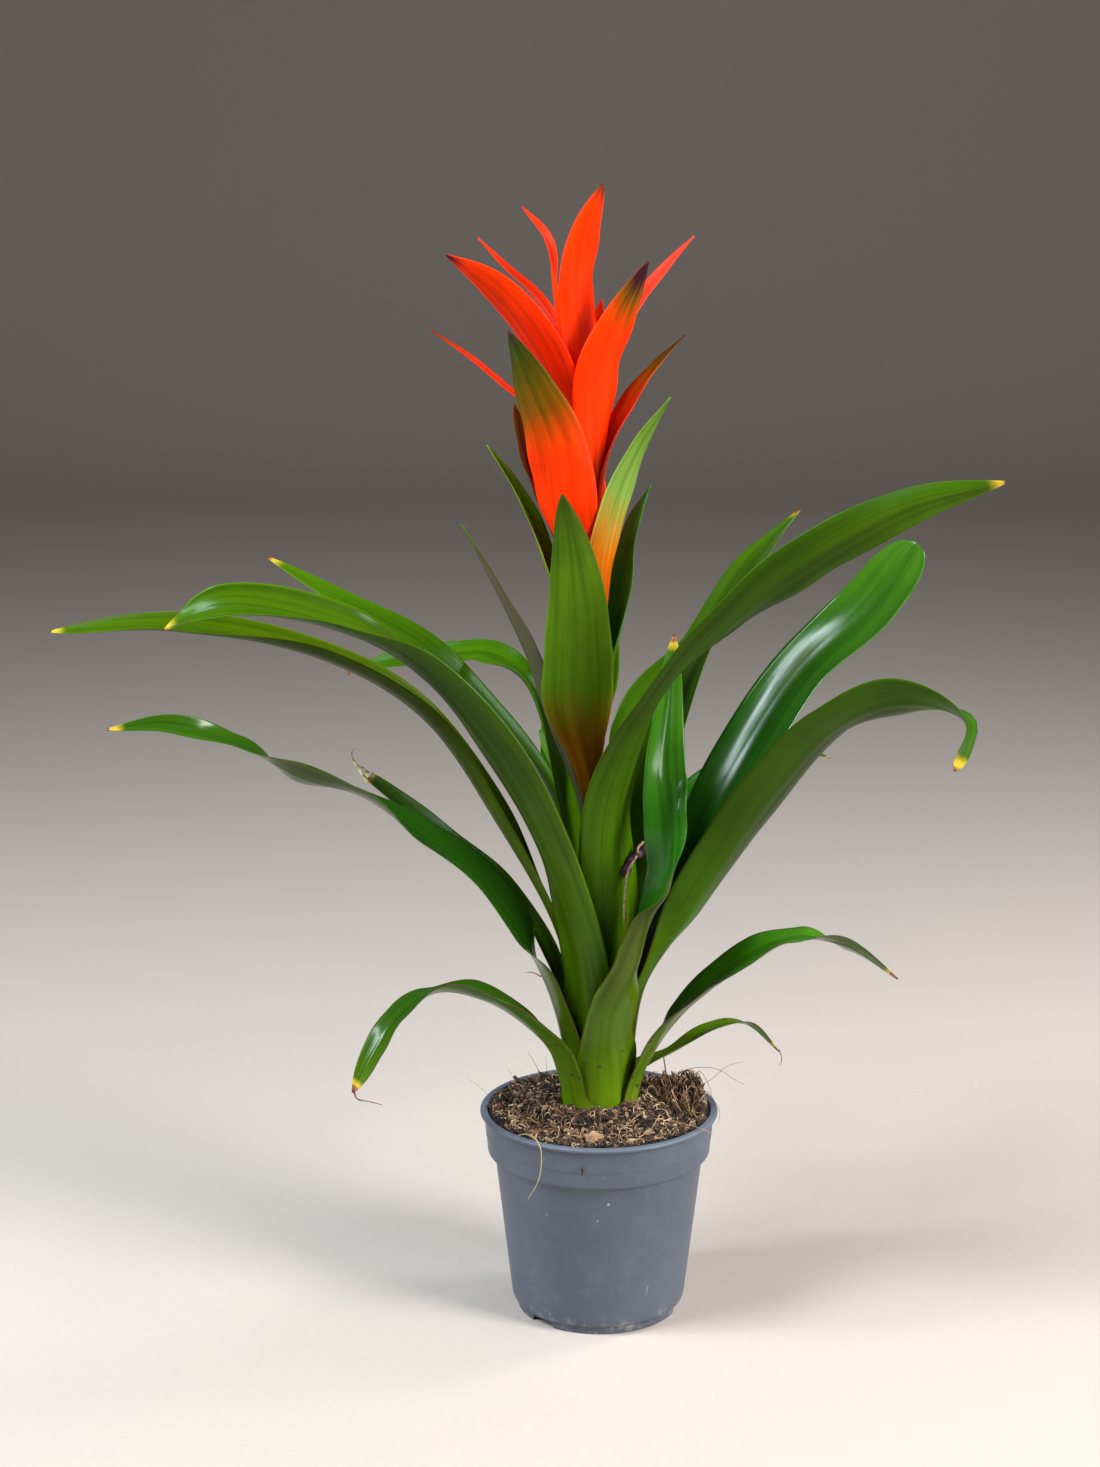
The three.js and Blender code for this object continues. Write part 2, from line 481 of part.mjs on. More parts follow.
function soilGeometry() {
  const bandBottom = POT_HEIGHT - BAND_HEIGHT;
  const floor = FOOT_HEIGHT + FLOOR + GAP;
  const sides = POT_SIDES;
  const inner = WALL + GAP;
  const edge = BAND_TOP_RADIUS - inner - 0.4;
  const rings = [
    { radius: WALL_BOTTOM_RADIUS - inner - 2.4, z: floor },
    { radius: WALL_BOTTOM_RADIUS - inner - 0.1, z: floor + 2 },
    { radius: WALL_TOP_RADIUS - inner - 0.4, z: bandBottom - 0.2 },
    { radius: BAND_BOTTOM_RADIUS - inner - 0.4, z: bandBottom + WALL + 2 },
    { radius: edge, z: null },
    { radius: edge * 0.84, z: null },
    { radius: edge * 0.66, z: null },
    { radius: edge * 0.5, z: null },
    { radius: SOIL_HOLE_MOUTH + 0.8, z: null },
  ];
  const points = [[0, 0, floor]];
  rings.forEach((ring) => {
    for (let k = 0; k < sides; k += 1) {
      const angle = (2 * Math.PI * k) / sides;
      const x = ring.radius * Math.cos(angle);
      const y = ring.radius * Math.sin(angle);
      const onTop = ring.z === null;
      const drop = ring.radius === edge ? 1.5 : 0;
      points.push([x, y, onTop ? soilTop(x, y) - drop : ring.z]);
    }
  });
  points.push([0, 0, SOIL_EDGE]);
  const last = points.length - 1;
  const triangles = [];
  for (let k = 0; k < sides; k += 1) {
    const next = (k + 1) % sides;
    triangles.push([0, 1 + next, 1 + k]);
    for (let r = 0; r < rings.length - 1; r += 1) {
      const a = 1 + r * sides;
      const b = a + sides;
      triangles.push([a + k, a + next, b + next], [a + k, b + next, b + k]);
    }
    const top = 1 + (rings.length - 1) * sides;
    triangles.push([last, top + k, top + next]);
  }
  const bore = (mouth, radius, from, to) => {
    const cone = new THREE.CylinderGeometry(mouth, radius, to - from, 24).rotateX(Math.PI / 2);
    return cone.translate(0, 0, (from + to) / 2);
  };
  let soil = solidOf(meshGeometry(points, triangles));
  soil = soil.subtract(solidOf(bore(SOIL_HOLE_MOUTH, SOIL_HOLE_RADIUS, SOIL_HOLE_FLOOR, POT_HEIGHT + 9)));
  soil = soil.subtract(solidOf(bore(ROOT_HOLE_RADIUS, ROOT_HOLE_RADIUS, ROOT_HOLE_FLOOR, POT_HEIGHT)));
  return geometryOf(soil);
}

function stemGeometry() {
  const sides = 10;
  const first = STEM[0];
  const last = STEM[STEM.length - 1];
  const points = [[first.x, 0, first.z]];
  STEM.forEach((row) => {
    for (let k = 0; k < sides; k += 1) {
      const angle = (2 * Math.PI * k) / sides;
      points.push([row.x + row.radius * Math.cos(angle), row.radius * Math.sin(angle), row.z]);
    }
  });
  points.push([last.x, 0, last.z]);
  const triangles = [];
  for (let k = 0; k < sides; k += 1) {
    const next = (k + 1) % sides;
    triangles.push([0, 1 + next, 1 + k]);
    for (let r = 0; r < STEM.length - 1; r += 1) {
      const a = 1 + r * sides;
      const b = a + sides;
      triangles.push([a + k, a + next, b + next], [a + k, b + next, b + k]);
    }
    const top = 1 + (STEM.length - 1) * sides;
    triangles.push([points.length - 1, top + k, top + next]);
  }
  return meshGeometry(points, triangles);
}

const potPlastic = () => new THREE.MeshStandardMaterial({ color: 0x5b6470, roughness: 0.5, metalness: 0 });
const peat = () => new THREE.MeshStandardMaterial({ color: 0x2e2019, roughness: 0.95, metalness: 0 });
const stemSkin = () => new THREE.MeshStandardMaterial({ color: 0x6f8a35, roughness: 0.6, metalness: 0 });
const leafSkin = () => new THREE.MeshStandardMaterial({ color: 0x3d6a1e, roughness: 0.35, metalness: 0 });
const greenBract = () => new THREE.MeshStandardMaterial({ color: 0x3f7a1c, roughness: 0.4, metalness: 0 });
const orangeBract = () => new THREE.MeshStandardMaterial({ color: 0xe8420c, roughness: 0.4, metalness: 0 });

const group = new THREE.Group();

function add(name, geometry, material) {
  const mesh = new THREE.Mesh(geometry, material);
  mesh.name = name;
  group.add(mesh);
}

add('pot', potGeometry(), potPlastic());
add('soil', soilGeometry(), peat());
add('stem', stemGeometry(), stemSkin());
LEAVES.forEach((leaf) => add(leaf.name, leafGeometry(leaf), leafSkin()));
BRACTS.forEach((bract) => {
  const skin = bract.height < ORANGE_FROM ? greenBract() : orangeBract();
  add(bract.name, bractGeometry(bract), skin);
});

export default group;
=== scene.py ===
# Potted guzmania, dressed for the render: fine leaves and bracts, soil with fibres, a scuffed plastic pot.
# The rows of sizes are in millimetres, as in the part's source. Meshes are in metres.
from collections import namedtuple
from itertools import combinations
from math import atan2, cos, degrees, exp, hypot, pi, radians, sin, sqrt

import bpy
import numpy as np
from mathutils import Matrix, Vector, noise


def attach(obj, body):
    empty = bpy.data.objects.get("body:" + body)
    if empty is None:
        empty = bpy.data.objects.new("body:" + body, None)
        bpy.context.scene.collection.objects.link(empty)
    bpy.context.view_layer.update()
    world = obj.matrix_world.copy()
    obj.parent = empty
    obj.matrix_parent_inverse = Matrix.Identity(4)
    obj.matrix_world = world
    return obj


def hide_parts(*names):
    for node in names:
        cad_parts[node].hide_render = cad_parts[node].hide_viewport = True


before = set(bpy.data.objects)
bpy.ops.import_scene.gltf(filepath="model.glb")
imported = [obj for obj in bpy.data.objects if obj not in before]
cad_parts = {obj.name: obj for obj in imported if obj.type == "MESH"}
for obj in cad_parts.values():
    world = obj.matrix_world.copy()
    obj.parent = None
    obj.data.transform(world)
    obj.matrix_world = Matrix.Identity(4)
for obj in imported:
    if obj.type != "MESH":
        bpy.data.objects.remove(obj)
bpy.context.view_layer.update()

MM = 0.001

# Camera, worked out from the ellipses of the pot's rim and foot in the photograph
CAMERA_PLACE = (-24.7, -1300, 593)
CAMERA_PITCH = 12.76
PHOTO_HEIGHT = 1467
FOCAL_PIXELS = 2719
SENSOR = 36

# Studio: each light's place, size in metres, power in watts and colour
AIM = (0, 0, 300)
LIGHTS = [
    ("key", (1150, -750, 950), (0.5, 1.0), 34, (1.0, 0.98, 0.95)),
    ("left", (-724, -440, 1270), (0.42, 0.6), 19, (0.84, 0.94, 1.0)),
    ("side", (-1160, -205, 800), (0.2, 0.7), 11, (0.84, 0.94, 1.0)),
    ("back", (990, 400, 1050), (0.3, 0.6), 8, (0.93, 0.97, 1.0)),
]
WORLD_COLOUR = (0.78, 0.76, 0.74, 1)
WORLD_STRENGTH = 0.12
FLOOR_REACH = 9000
BACKDROP_START = 3000
BACKDROP_CURVE = 1500

# Pot
POT_HEIGHT = 105
LIP_RADIUS = 60
LIP_HEIGHT = 2.2
BAND_TOP_RADIUS = 57.8
BAND_BOTTOM_RADIUS = 56.2
BAND_HEIGHT = 21.5
WALL_TOP_RADIUS = 52.6
WALL_BOTTOM_RADIUS = 44
FOOT_RADIUS = 41.2
FOOT_HEIGHT = 3.6
FOOT_WIDTH = 3.4
WALL = 1.5
FLOOR = 1.8
HUB_RADIUS = 9
NOTCH_COUNT = 3
NOTCH_WIDTH = 15
NOTCH_DIRECTION = 226
NOTCH_REACH = (33, 46)
DRAIN_COUNT = 6
DRAIN_RADIUS = 3.5
DRAIN_CIRCLE = 25
CORNER = 0.8
STEP_HEIGHT = 7.6  # where the band turns a little wider
POT_SIDES = 144

# Soil
SOIL_EDGE = 101.5
SOIL_RADIUS = 55.6
MOUND_HEIGHT = 8.5
MOUND_RADIUS = 23
MOUND_WIDTH = 13
SOIL_CLUMPS = [(42, 14, 15, 6), (-30, 32, 14, 3.5)]  # x, y, size and height
BANK_START = 46
BANK_WIDTH = 7
BANK_HEIGHT = 2.4
CRUMB_COUNT = 2400
FIBRE_COUNT = 2500
CHIP_COUNT = 130
CLUMP_EVERY = 7  # one fibre in so many lies in the clump at the right rear
FIBRE_CLUMP = (44, 12)
GRAIN_COUNT = 5

# Leaves and bracts
THICK = 0.6
MARGIN_THICK = 0.25
SHEATH_FOOT = 96.8
SHEATH_RADIUS = 18.6
LAYER_STEP = 1.35
CLASP_GAP = 0.75
TIP_WIDTH = 1.2
LEAF_GROWTH = 0.25
BRACT_GROWTH = 0.35
LEAF_STATIONS = 110
LEAF_COLUMNS = 22
BRACT_STATIONS = 56
BRACT_COLUMNS = 16
LEAF_CUP = (80, 70, 62, 52, 40)
BRACT_CUP = (115, 80, 65, 50, 40)
FOOT_FADE = (0.128, 0.215)  # heights in metres between which the lime foot ends
WORN_FADE = (0.19, 0.24)  # and between which the worn margins end
CHANNEL_DEPTH = 0.5
CHANNEL_WIDTH = 0.16  # as a share of the half width
RIB_DEPTH = 0.05
RELIEF_WIDTH = 24  # a narrower blade has less relief
BRACT_SEEDS = 39  # the seeds of the bracts follow on this number

# Ways a blade narrows from its base to its tip: its width times (1 - t^power)^blunt
BLUNT = (5, 0.5)
POINTED = (3.8, 0.7)
SQUARE = (9, 0.45)
SLENDER = (2.6, 0.75)

# The stem's middle line, z and x, and its radius there
STEM = [
    (60.3, 0, 5.5),
    (97, 0, 6.6),
    (200, -1, 6.4),
    (235, -2.5, 4.6),
    (290, -5, 4.3),
    (400, -8.5, 3.6),
    (440, -9.5, 2.8),
    (464, -10, 1.6),
    (476, -10, 0.8),
]

# Colours, as linear red, green and blue
DEEP = (0.014, 0.07, 0.003)
FRESH = (0.062, 0.165, 0.002)
GLOSSY = (0.022, 0.125, 0.006)
BRIGHT = (0.045, 0.2, 0.006)
MOSS = (0.046, 0.1, 0.002)
UNDER = (0.038, 0.092, 0.001)
OLIVE = (0.05, 0.088, 0.001)
GREY_GREEN = (0.1, 0.09, 0.05)
LIME = (0.18, 0.3, 0.003)
YELLOW = (0.62, 0.43, 0.03)
DRY = (0.28, 0.09, 0.028)
DARK_DRY = (0.05, 0.018, 0.01)
ORANGE = (0.98, 0.034, 0)
SCARLET = (0.64, 0.012, 0)
CORAL = (0.88, 0.05, 0.022)
AMBER = (0.72, 0.18, 0.004)
RUST = (0.19, 0.068, 0.001)
BROWN_RED = (0.14, 0.022, 0.006)
PURPLE = (0.035, 0.008, 0.014)
BRACT_GREEN = (0.07, 0.15, 0.004)
LIGHT_GREEN = (0.21, 0.36, 0.06)
LEAFY = (0.15, 0.3, 0.004)
VIVID = (0.055, 0.42, 0.05)
BROWN_OLIVE = (0.085, 0.062, 0.002)
DARK_GREEN = (0.024, 0.046, 0.003)

# A blade's path has rows of x, y, z and, where it isn't 0, roll in degrees. Its cup is the angle that its
# section spans, spread along the path. Directions are in degrees about +Z, from +X. A leaf's look is its
# upper and lower colour, where along it the tip turns yellow and then dry, and how waxy it is. A bract's
# inner and outer look are stops of the colour along it. Bracts are numbered from the lowest up.
Leaf = namedtuple(
    "Leaf", "name sheath layer wrap faces neck_width width taper look path cup", defaults=[LEAF_CUP])
Bract = namedtuple(
    "Bract", "height wrap faces neck_width width inner outer path cup taper", defaults=[BRACT_CUP, SLENDER])


def even(colour):
    """One colour all along a bract's face"""
    return [(0.1, colour), (1, colour)]


LEAVES = [
    ("low_left", 207, 0, 130, 207, 28, 28, POINTED, (DEEP, FRESH, 0.972, 0.981, 0.4), [
        (-17, -9, 118), (-24, -15, 140), (-38, -24, 158, -5), (-57, -36, 174, -5), (-80, -46, 181, 18),
        (-97, -52, 171, 5), (-108, -56, 156, -10), (-120, -58, 134, -30),
    ], [90, 100, 105, 95, 45, 50, 55, 45]),
    ("low_right", 350, 0, 85, 335, 26, 26, POINTED, (BRIGHT, OLIVE, 0.966, 0.974, 0.8), [
        (24, -7, 131), (37, -12, 154, 10), (54, -20, 175, 24), (75, -29, 194, 30), (95, -36, 205, 5),
        (119, -43, 203, -42), (143, -48, 188, -40),
    ], [90, 95, 85, 70, 40, 30, 35]),
    ("low_small", 62, 0, 50, 35, 13, 13, POINTED, (FRESH, FRESH, 0.94, 0.962, 0.4), [
        (13, 16, 116), (37, 17, 128, -20), (57, 24, 138, -5), (76, 33, 138, -5), (94, 38, 121)]),
    ("low_back", 113, 0, 45, 95, 22, 22, POINTED, (DEEP, UNDER, 0.97, 0.985, 0), [
        (-8, 20, 122), (-5, 38, 146), (-3, 66, 164, 5), (0, 96, 164, 10), (3, 122, 146, 10),
        (5, 138, 120, 5)]),
    ("front", 290, 1, 130, 285, 26, 26, POINTED, (GLOSSY, OLIVE, 0.978, 0.984, 0.3), [
        (5, -25, 156), (17, -32, 190, 40), (23, -34, 211, 60), (32, -38, 235, 100), (32, -36, 264, 145),
        (30, -29, 290, 180), (32, -21, 319, 195), (35, -15, 351, 185),
    ], [80, 130, 160, 130, 85, 60, 50, 40]),
    ("back", 112, 1, 60, 98, 15, 27, POINTED, (DEEP, UNDER, 0.975, 0.988, 0), [
        (-8, 20.5, 165), (-14, 42, 216), (-17, 70, 252, 5), (-19, 108, 272, 8), (-21, 150, 274, 8),
        (-23, 190, 254, 5)]),
    ("left_twisted", 200, 2, 105, 200, 25, 25, SLENDER, (DEEP, OLIVE, 0.986, 0.996, 0.6), [
        (-25, -10, 170), (-41, -18, 204, -40), (-61, -24, 234, -35), (-87, -30, 255, -30),
        (-115, -35, 276, 5), (-143, -40, 286, 40), (-171, -46, 303, -15), (-204, -52, 315, -75),
        (-232, -60, 314, -65),
    ], [90, 75, 60, 60, 60, 60, 60, 50, 40]),
    ("right_low", 335, 2, 130, 328, 22, 42, BLUNT, (DEEP, UNDER, 0.985, 0.993, 0), [
        (22, -9, 172), (44, -14, 210, -10), (64, -20, 245, -15), (85, -28, 278, -20), (111, -36, 309, -20),
        (141, -44, 323, -40), (171, -53, 316, -15), (165, -60, 294, 10)]),
    ("right_hidden", 62, 2, 32, 48, 14, 22, POINTED, (DEEP, UNDER, 0.97, 0.98, 0.4), [
        (15, 17, 158), (31, 20, 196), (46, 28, 228), (62, 32, 252), (78, 34, 262), (90, 34, 253)]),
    ("left_broken", 162, 3, 106, 165, 21, 21, SQUARE, (FRESH, UNDER, 0.978, 0.992, 0), [
        (-24, 6, 180), (-49, 8, 220, 5), (-83, 12, 247), (-118, 15, 275)]),
    ("right_broad", 10, 3, 98, 28, 37, 37, SQUARE, (GLOSSY, UNDER, 1.1, 1.2, 0.8), [
        (25, 5, 186), (49, 10, 236, 5), (71, 20, 277, 20), (100, 33, 320, 15), (136, 46, 354, 25),
        (161, 66, 383, 45)]),
    ("right_far", 88, 3, 28, 70, 10, 26, POINTED, (DEEP, UNDER, 0.975, 0.988, 0), [
        (9, 23, 178), (26, 55, 222), (54, 90, 244, 5), (84, 134, 252, 10), (110, 180, 248, 10),
        (136, 222, 234, 5)]),
    ("left_arch", 245, 4, 150, 215, 26, 36, BLUNT, (MOSS, UNDER, 0.99, 0.996, 0.1), [
        (-9, -23, 190), (-27, -33, 247), (-52, -41, 296, 10), (-85, -46, 337), (-120, -50, 359, -25),
        (-176, -53, 371, -35), (-205, -54, 360, 10),
    ], [80, 95, 112, 118, 115, 100, 70]),
    ("left_long", 190, 5, 118, 188, 22, 33, POINTED, (OLIVE, OLIVE, 0.993, 0.998, 0), [
        (-20, -4, 195), (-51, -6, 256, -5), (-87, -12, 310), (-133, -17, 339), (-204, -20, 355, -15),
        (-264, -20, 353, -25),
    ], [90, 110, 115, 110, 90, 60]),
    ("right_back", 22, 5, 150, 45, 40, 40, POINTED, (FRESH, UNDER, 0.987, 0.989, 0.4), [
        (22, 9, 200), (28, 10, 250, -20), (25, 22, 293, 25), (54, 40, 337, -20), (79, 62, 374, -15),
        (104, 88, 397, -20)]),
    ("right_arch", 285, 6, 150, 318, 32, 32, POINTED, (DEEP, UNDER, 0.991, 0.996, 0), [
        (6, -18, 205), (6, -34, 271, -10), (28, -50, 329, 15), (58, -64, 364, -10), (91, -77, 395, -45),
        (135, -87, 422, -80), (178, -96, 435, -60)]),
    ("back_short", 100, 6, 110, 110, 21, 21, POINTED, (FRESH, UNDER, 1.1, 1.2, 0), [
        (-5, 21, 202), (-9, 28, 238, 70), (-17, 36, 262, 50), (-30, 46, 290, 20)]),
    ("left_back", 160, 7, 150, 165, 20, 28, POINTED, (FRESH, UNDER, 0.985, 0.992, 0), [
        (-17, 5, 212), (-24, 11, 263, 10), (-54, 21, 304, 5), (-89, 31, 336, -10), (-128, 38, 357, -15),
        (-166, 44, 379, -10)]),
    ("left_short", 140, 8, 150, 145, 21, 21, POINTED, (FRESH, FRESH, 0.986, 0.988, 0), [
        (-10, 11, 215), (-34, 14, 317, 20), (-53, 35, 330, -25), (-74, 56, 327, -40), (-106, 68, 322, -50),
        (-129, 76, 313, -40)]),
]

BRACTS = [
    (256, 80, 190, 13, 24, [(0.1, FRESH), (1, DEEP)],
        [(0.1, GREY_GREEN), (0.9, GREY_GREEN), (1, BRACT_GREEN)], [
        (-12, 0, 270), (-24, -2, 302, 10), (-35, -6, 338, 15), (-50, -10, 371, 10), (-67, -14, 404, 10)]),
    (262, 86, 270, 14, 38, even(FRESH),
        [(0.08, RUST), (0.24, RUST), (0.42, BRACT_GREEN), (0.75, BRACT_GREEN), (1, DARK_GREEN)], [
        (-5, -10, 276), (-11, -19, 310), (-11, -23, 346), (-13, -26, 383), (-19, -26, 420),
    ], [85, 62, 52, 45, 40]),
    (272, 90, 95, 17, 31, even(FRESH), [(0.1, RUST), (0.45, BRACT_GREEN), (1, DARK_GREEN)], [
        (-5, 10, 296), (-4, 16, 322), (-5, 22, 355), (-6, 25, 385), (-8, 24, 408)]),
    (290, 100, 5, 17, 27, even(VIVID), [(0.1, OLIVE), (0.4, BRACT_GREEN), (1, DARK_GREEN)], [
        (3, 1, 314), (7, 2, 345, 15), (11, 3, 372, 30), (16, 5, 400, 20), (24, 7, 420, 5)]),
    (305, 90, 180, 15, 19, [(0.1, AMBER), (0.3, LEAFY), (1, LEAFY)],
        [(0.1, AMBER), (0.4, LEAFY), (1, LEAFY)], [
        (-15, 1, 330), (-23, 1, 369, -10), (-32, 2, 400, -25), (-44, 2, 424, -20), (-55, 2, 440, -10)]),
    (322, 90, 335, 14, 22, [(0.1, ORANGE), (0.5, AMBER), (0.68, LIGHT_GREEN), (1, LIGHT_GREEN)],
        [(0.1, ORANGE), (0.45, AMBER), (0.66, LIGHT_GREEN), (1, BRACT_GREEN)], [
        (1, -4, 346), (1, -10, 378, -20), (8, -15, 414, -25), (18, -18, 441, -20), (32, -20, 465, -10)]),
    (332, 84, 84, 16, 25, even(ORANGE), [(0.1, ORANGE), (0.6, AMBER), (1, BRACT_GREEN)], [
        (-6, 10, 358), (-7, 16, 380), (-7, 21, 405), (-6, 24, 428), (-9, 24, 448)]),
    (342, 80, 165, 14, 23, [(0.1, BROWN_RED), (1, RUST)],
        [(0.1, SCARLET), (0.55, BROWN_RED), (1, DARK_GREEN)], [
        (-16, 4, 364), (-23, 7, 396, 5), (-32, 8, 418), (-38, 9, 438, -15), (-42, 9, 459, -30)]),
    (352, 96, 258, 18, 35, even(ORANGE),
        [(0.1, ORANGE), (0.58, ORANGE), (0.74, RUST), (0.84, BROWN_OLIVE), (0.95, DARK_GREEN),
         (1, PURPLE)], [
        (-11, -9, 378), (-18, -17, 412, -10), (-22, -20, 442, 5), (-33, -22, 470, -5),
        (-44, -22, 496, -25)]),
    (364, 90, 110, 15, 26, even(ORANGE), [(0.1, ORANGE), (0.8, ORANGE), (1, DARK_GREEN)], [
        (-11, 8, 390), (-12, 13, 408), (-14, 17, 434), (-16, 19, 458), (-17, 18, 476)]),
    (378, 80, 10, 13, 20, [(0.1, ORANGE), (0.6, ORANGE), (0.85, RUST), (1, PURPLE)],
        [(0.1, ORANGE), (0.7, ORANGE), (0.88, RUST), (1, PURPLE)], [
        (-1, 1, 402), (3, 2, 436, 5), (14, 4, 460, 15), (26, 6, 477, 10), (40, 8, 492, -5)]),
    (384, 90, 300, 13, 28, even(ORANGE),
        [(0.1, ORANGE), (0.76, ORANGE), (0.88, RUST), (0.94, PURPLE), (1, PURPLE)], [
        (-5, -6, 410), (-2, -10, 440, 20), (-1, -15, 478, -5), (9, -18, 503, -15), (21, -20, 528, 5)]),
    (392, 60, 165, 7, 9, [(0.1, ORANGE), (0.8, ORANGE), (1, BROWN_RED)],
        [(0.1, ORANGE), (0.6, ORANGE), (0.85, BROWN_RED), (1, DARK_DRY)], [
        (-16, 2, 420), (-26, 3, 450, -10), (-45, 6, 466, -5), (-63, 9, 481, -10), (-82, 12, 494, -15)]),
    (396, 70, 78, 11, 18, even(SCARLET), [(0.1, SCARLET), (0.85, SCARLET), (1, PURPLE)], [
        (-7, 7, 420), (-6, 11, 440), (-5, 14, 466), (-3, 16, 488), (0, 17, 508)]),
    (402, 80, 225, 11, 28, even(ORANGE),
        [(0.1, SCARLET), (0.45, SCARLET), (0.93, ORANGE), (0.99, PURPLE)], [
        (-13, -4, 426), (-19, -7, 462, -10), (-33, -15, 494, 15), (-52, -19, 517, 35),
        (-73, -22, 531, 25)]),
    (420, 60, 52, 7, 12, even(CORAL), [(0.1, CORAL), (0.85, CORAL), (0.99, PURPLE)], [
        (-5, 5, 442), (2, 6, 478), (14, 8, 503), (29, 12, 522), (44, 16, 538)]),
    (428, 50, 140, 6, 9, even(ORANGE), [(0.1, ORANGE), (0.85, SCARLET), (0.99, PURPLE)], [
        (-14, 5, 450), (-19, 8, 490), (-31, 12, 510, -5), (-45, 14, 523, -10), (-59, 16, 537, -10)]),
    (425, 80, 280, 9, 26, [(0.1, SCARLET), (1, ORANGE)],
        [(0.1, CORAL), (0.35, CORAL), (0.55, ORANGE), (0.93, ORANGE), (0.99, BROWN_RED)], [
        (-9, -5, 448), (-8, -7, 482, 30), (-11, -9, 516, 25), (-8, -11, 541), (0, -11, 563, -10)]),
    (440, 50, 85, 7, 11, even(SCARLET), [(0.1, SCARLET), (0.9, SCARLET), (1, BROWN_RED)], [
        (-9, 5, 462), (-8, 8, 480), (-9, 10, 502), (-10, 12, 522), (-12, 12, 540)]),
    (450, 50, 178, 8, 15, even(ORANGE), [(0.1, SCARLET), (0.55, ORANGE), (0.9, ORANGE), (0.99, PURPLE)], [
        (-15, 0, 470), (-20, 1, 490, 5), (-23, 4, 515), (-26, 7, 537, -25), (-38, 10, 552, -25)]),
]


def ease(t):
    u = np.clip(t, 0, 1)
    return u * u * (3 - 2 * u)


def lerp(a, b, t):
    return a + (b - a) * t


def blend(a, b, t):
    """A colour between two"""
    return tuple(lerp(x, y, t) for x, y in zip(a, b))


def shade(colour, factor):
    return tuple(c * factor for c in colour)


def value_at(values, places):
    """The value at fractional places in a list, eased from one entry to the next"""
    values = np.asarray(values, float)
    i = np.clip(np.floor(places).astype(int), 0, len(values) - 2)
    return lerp(values[i], values[i + 1], ease(places - i))


def spread(values, count):
    """A list of cup angles spread over a number of path rows"""
    return np.interp(np.linspace(0, 1, count), np.linspace(0, 1, len(values)), values)


def stem_at(z):
    rows = np.array(STEM)
    return np.interp(z, rows[:, 0], rows[:, 1]), np.interp(z, rows[:, 0], rows[:, 2])


def turn_to(direction, start):
    return (direction - start + 540) % 360 - 180


def smooth_path(controls, count, substeps=24):
    """Evenly spaced points of a centripetal Catmull-Rom curve through the controls, count + 1 of them, and
    each one's place in the list of controls"""
    points = np.array(controls, float)
    ends = np.vstack([2 * points[0] - points[1], points, 2 * points[-1] - points[-2]])
    fine, places = [], []
    for i in range(len(points) - 1):
        p0, p1, p2, p3 = ends[i:i + 4]
        d0, d1, d2 = [max(np.linalg.norm(b - a), 1e-6) ** 0.5 for a, b in ((p0, p1), (p1, p2), (p2, p3))]
        m1 = ((p1 - p0) / d0 - (p2 - p0) / (d0 + d1) + (p2 - p1) / d1) * d1
        m2 = ((p2 - p1) / d1 - (p3 - p1) / (d1 + d2) + (p3 - p2) / d2) * d1
        square, cube = 3 * (p2 - p1) - 2 * m1 - m2, 2 * (p1 - p2) + m1 + m2
        for t in np.arange(substeps) / substeps:
            fine.append(p1 + m1 * t + square * t ** 2 + cube * t ** 3)
            places.append(i + t)
    fine.append(points[-1])
    places.append(len(points) - 1)
    fine = np.array(fine)
    run = np.concatenate([[0], np.cumsum(np.linalg.norm(np.diff(fine, axis=0), axis=1))])
    even = np.linspace(0, run[-1], count + 1)
    middles = np.stack([np.interp(even, run, fine[:, k]) for k in range(3)], 1)
    return middles, np.interp(even, run, places)


def unit(v):
    return v / np.linalg.norm(v, axis=-1, keepdims=True)


def blade_grid(piece, feet, foot_width, growth, stations, columns, leans):
    """Points and normals of a blade's middle surface, with the share along it past its neck"""
    path = np.array([row[:3] for row in piece.path], float)
    rolls = [sum(row[3:]) for row in piece.path]
    middles, places = smooth_path(list(feet) + list(path), stations)
    foot_count = len(feet)
    share = np.linspace(0, 1, stations + 1)
    neck_share = np.interp(foot_count, places, share)
    t = (share - neck_share) / (1 - neck_share)
    free = ease(places - foot_count)
    along_free = np.maximum(places - foot_count, 0)
    across = middles[:, 0] - (stem_at(middles[:, 2])[0] if leans else 0)
    reach = np.hypot(across, middles[:, 1])
    around = np.degrees(np.arctan2(middles[:, 1], across))
    facing = np.radians(around + turn_to(piece.faces, around) * free)
    power, blunt = piece.taper
    grown = lerp(piece.neck_width, piece.width, ease(t / growth))
    grown = grown * (1 - np.clip(t, 0, 1) ** power) ** blunt
    below = value_at([foot_width] * foot_count + [piece.neck_width], np.clip(places, 0, foot_count))
    width = np.maximum(np.where(t < 0, below, grown), TIP_WIDTH)
    hug = np.minimum(np.degrees(width / reach), 200)
    cup = np.radians(lerp(hug, value_at(spread(piece.cup, len(path)), along_free), free))
    roll = np.radians(value_at(rolls, along_free) * free)
    tangent = unit(np.gradient(middles, axis=0))
    side = np.stack([-np.sin(facing), np.cos(facing), 0 * facing], 1)
    side = unit(side - (side * tangent).sum(1, keepdims=True) * tangent)
    lift = np.cross(tangent, side)
    cos_roll, sin_roll = np.cos(roll)[:, None], np.sin(roll)[:, None]
    side, lift = side * cos_roll + lift * sin_roll, lift * cos_roll - side * sin_roll
    angle = cup[:, None] * np.linspace(-0.5, 0.5, columns + 1)[None]
    normal = np.cos(angle)[..., None] * lift[:, None] - np.sin(angle)[..., None] * side[:, None]
    radius = (width / cup)[:, None, None]
    points = middles[:, None] + radius * (lift[:, None] - normal)
    return points, normal, share, width


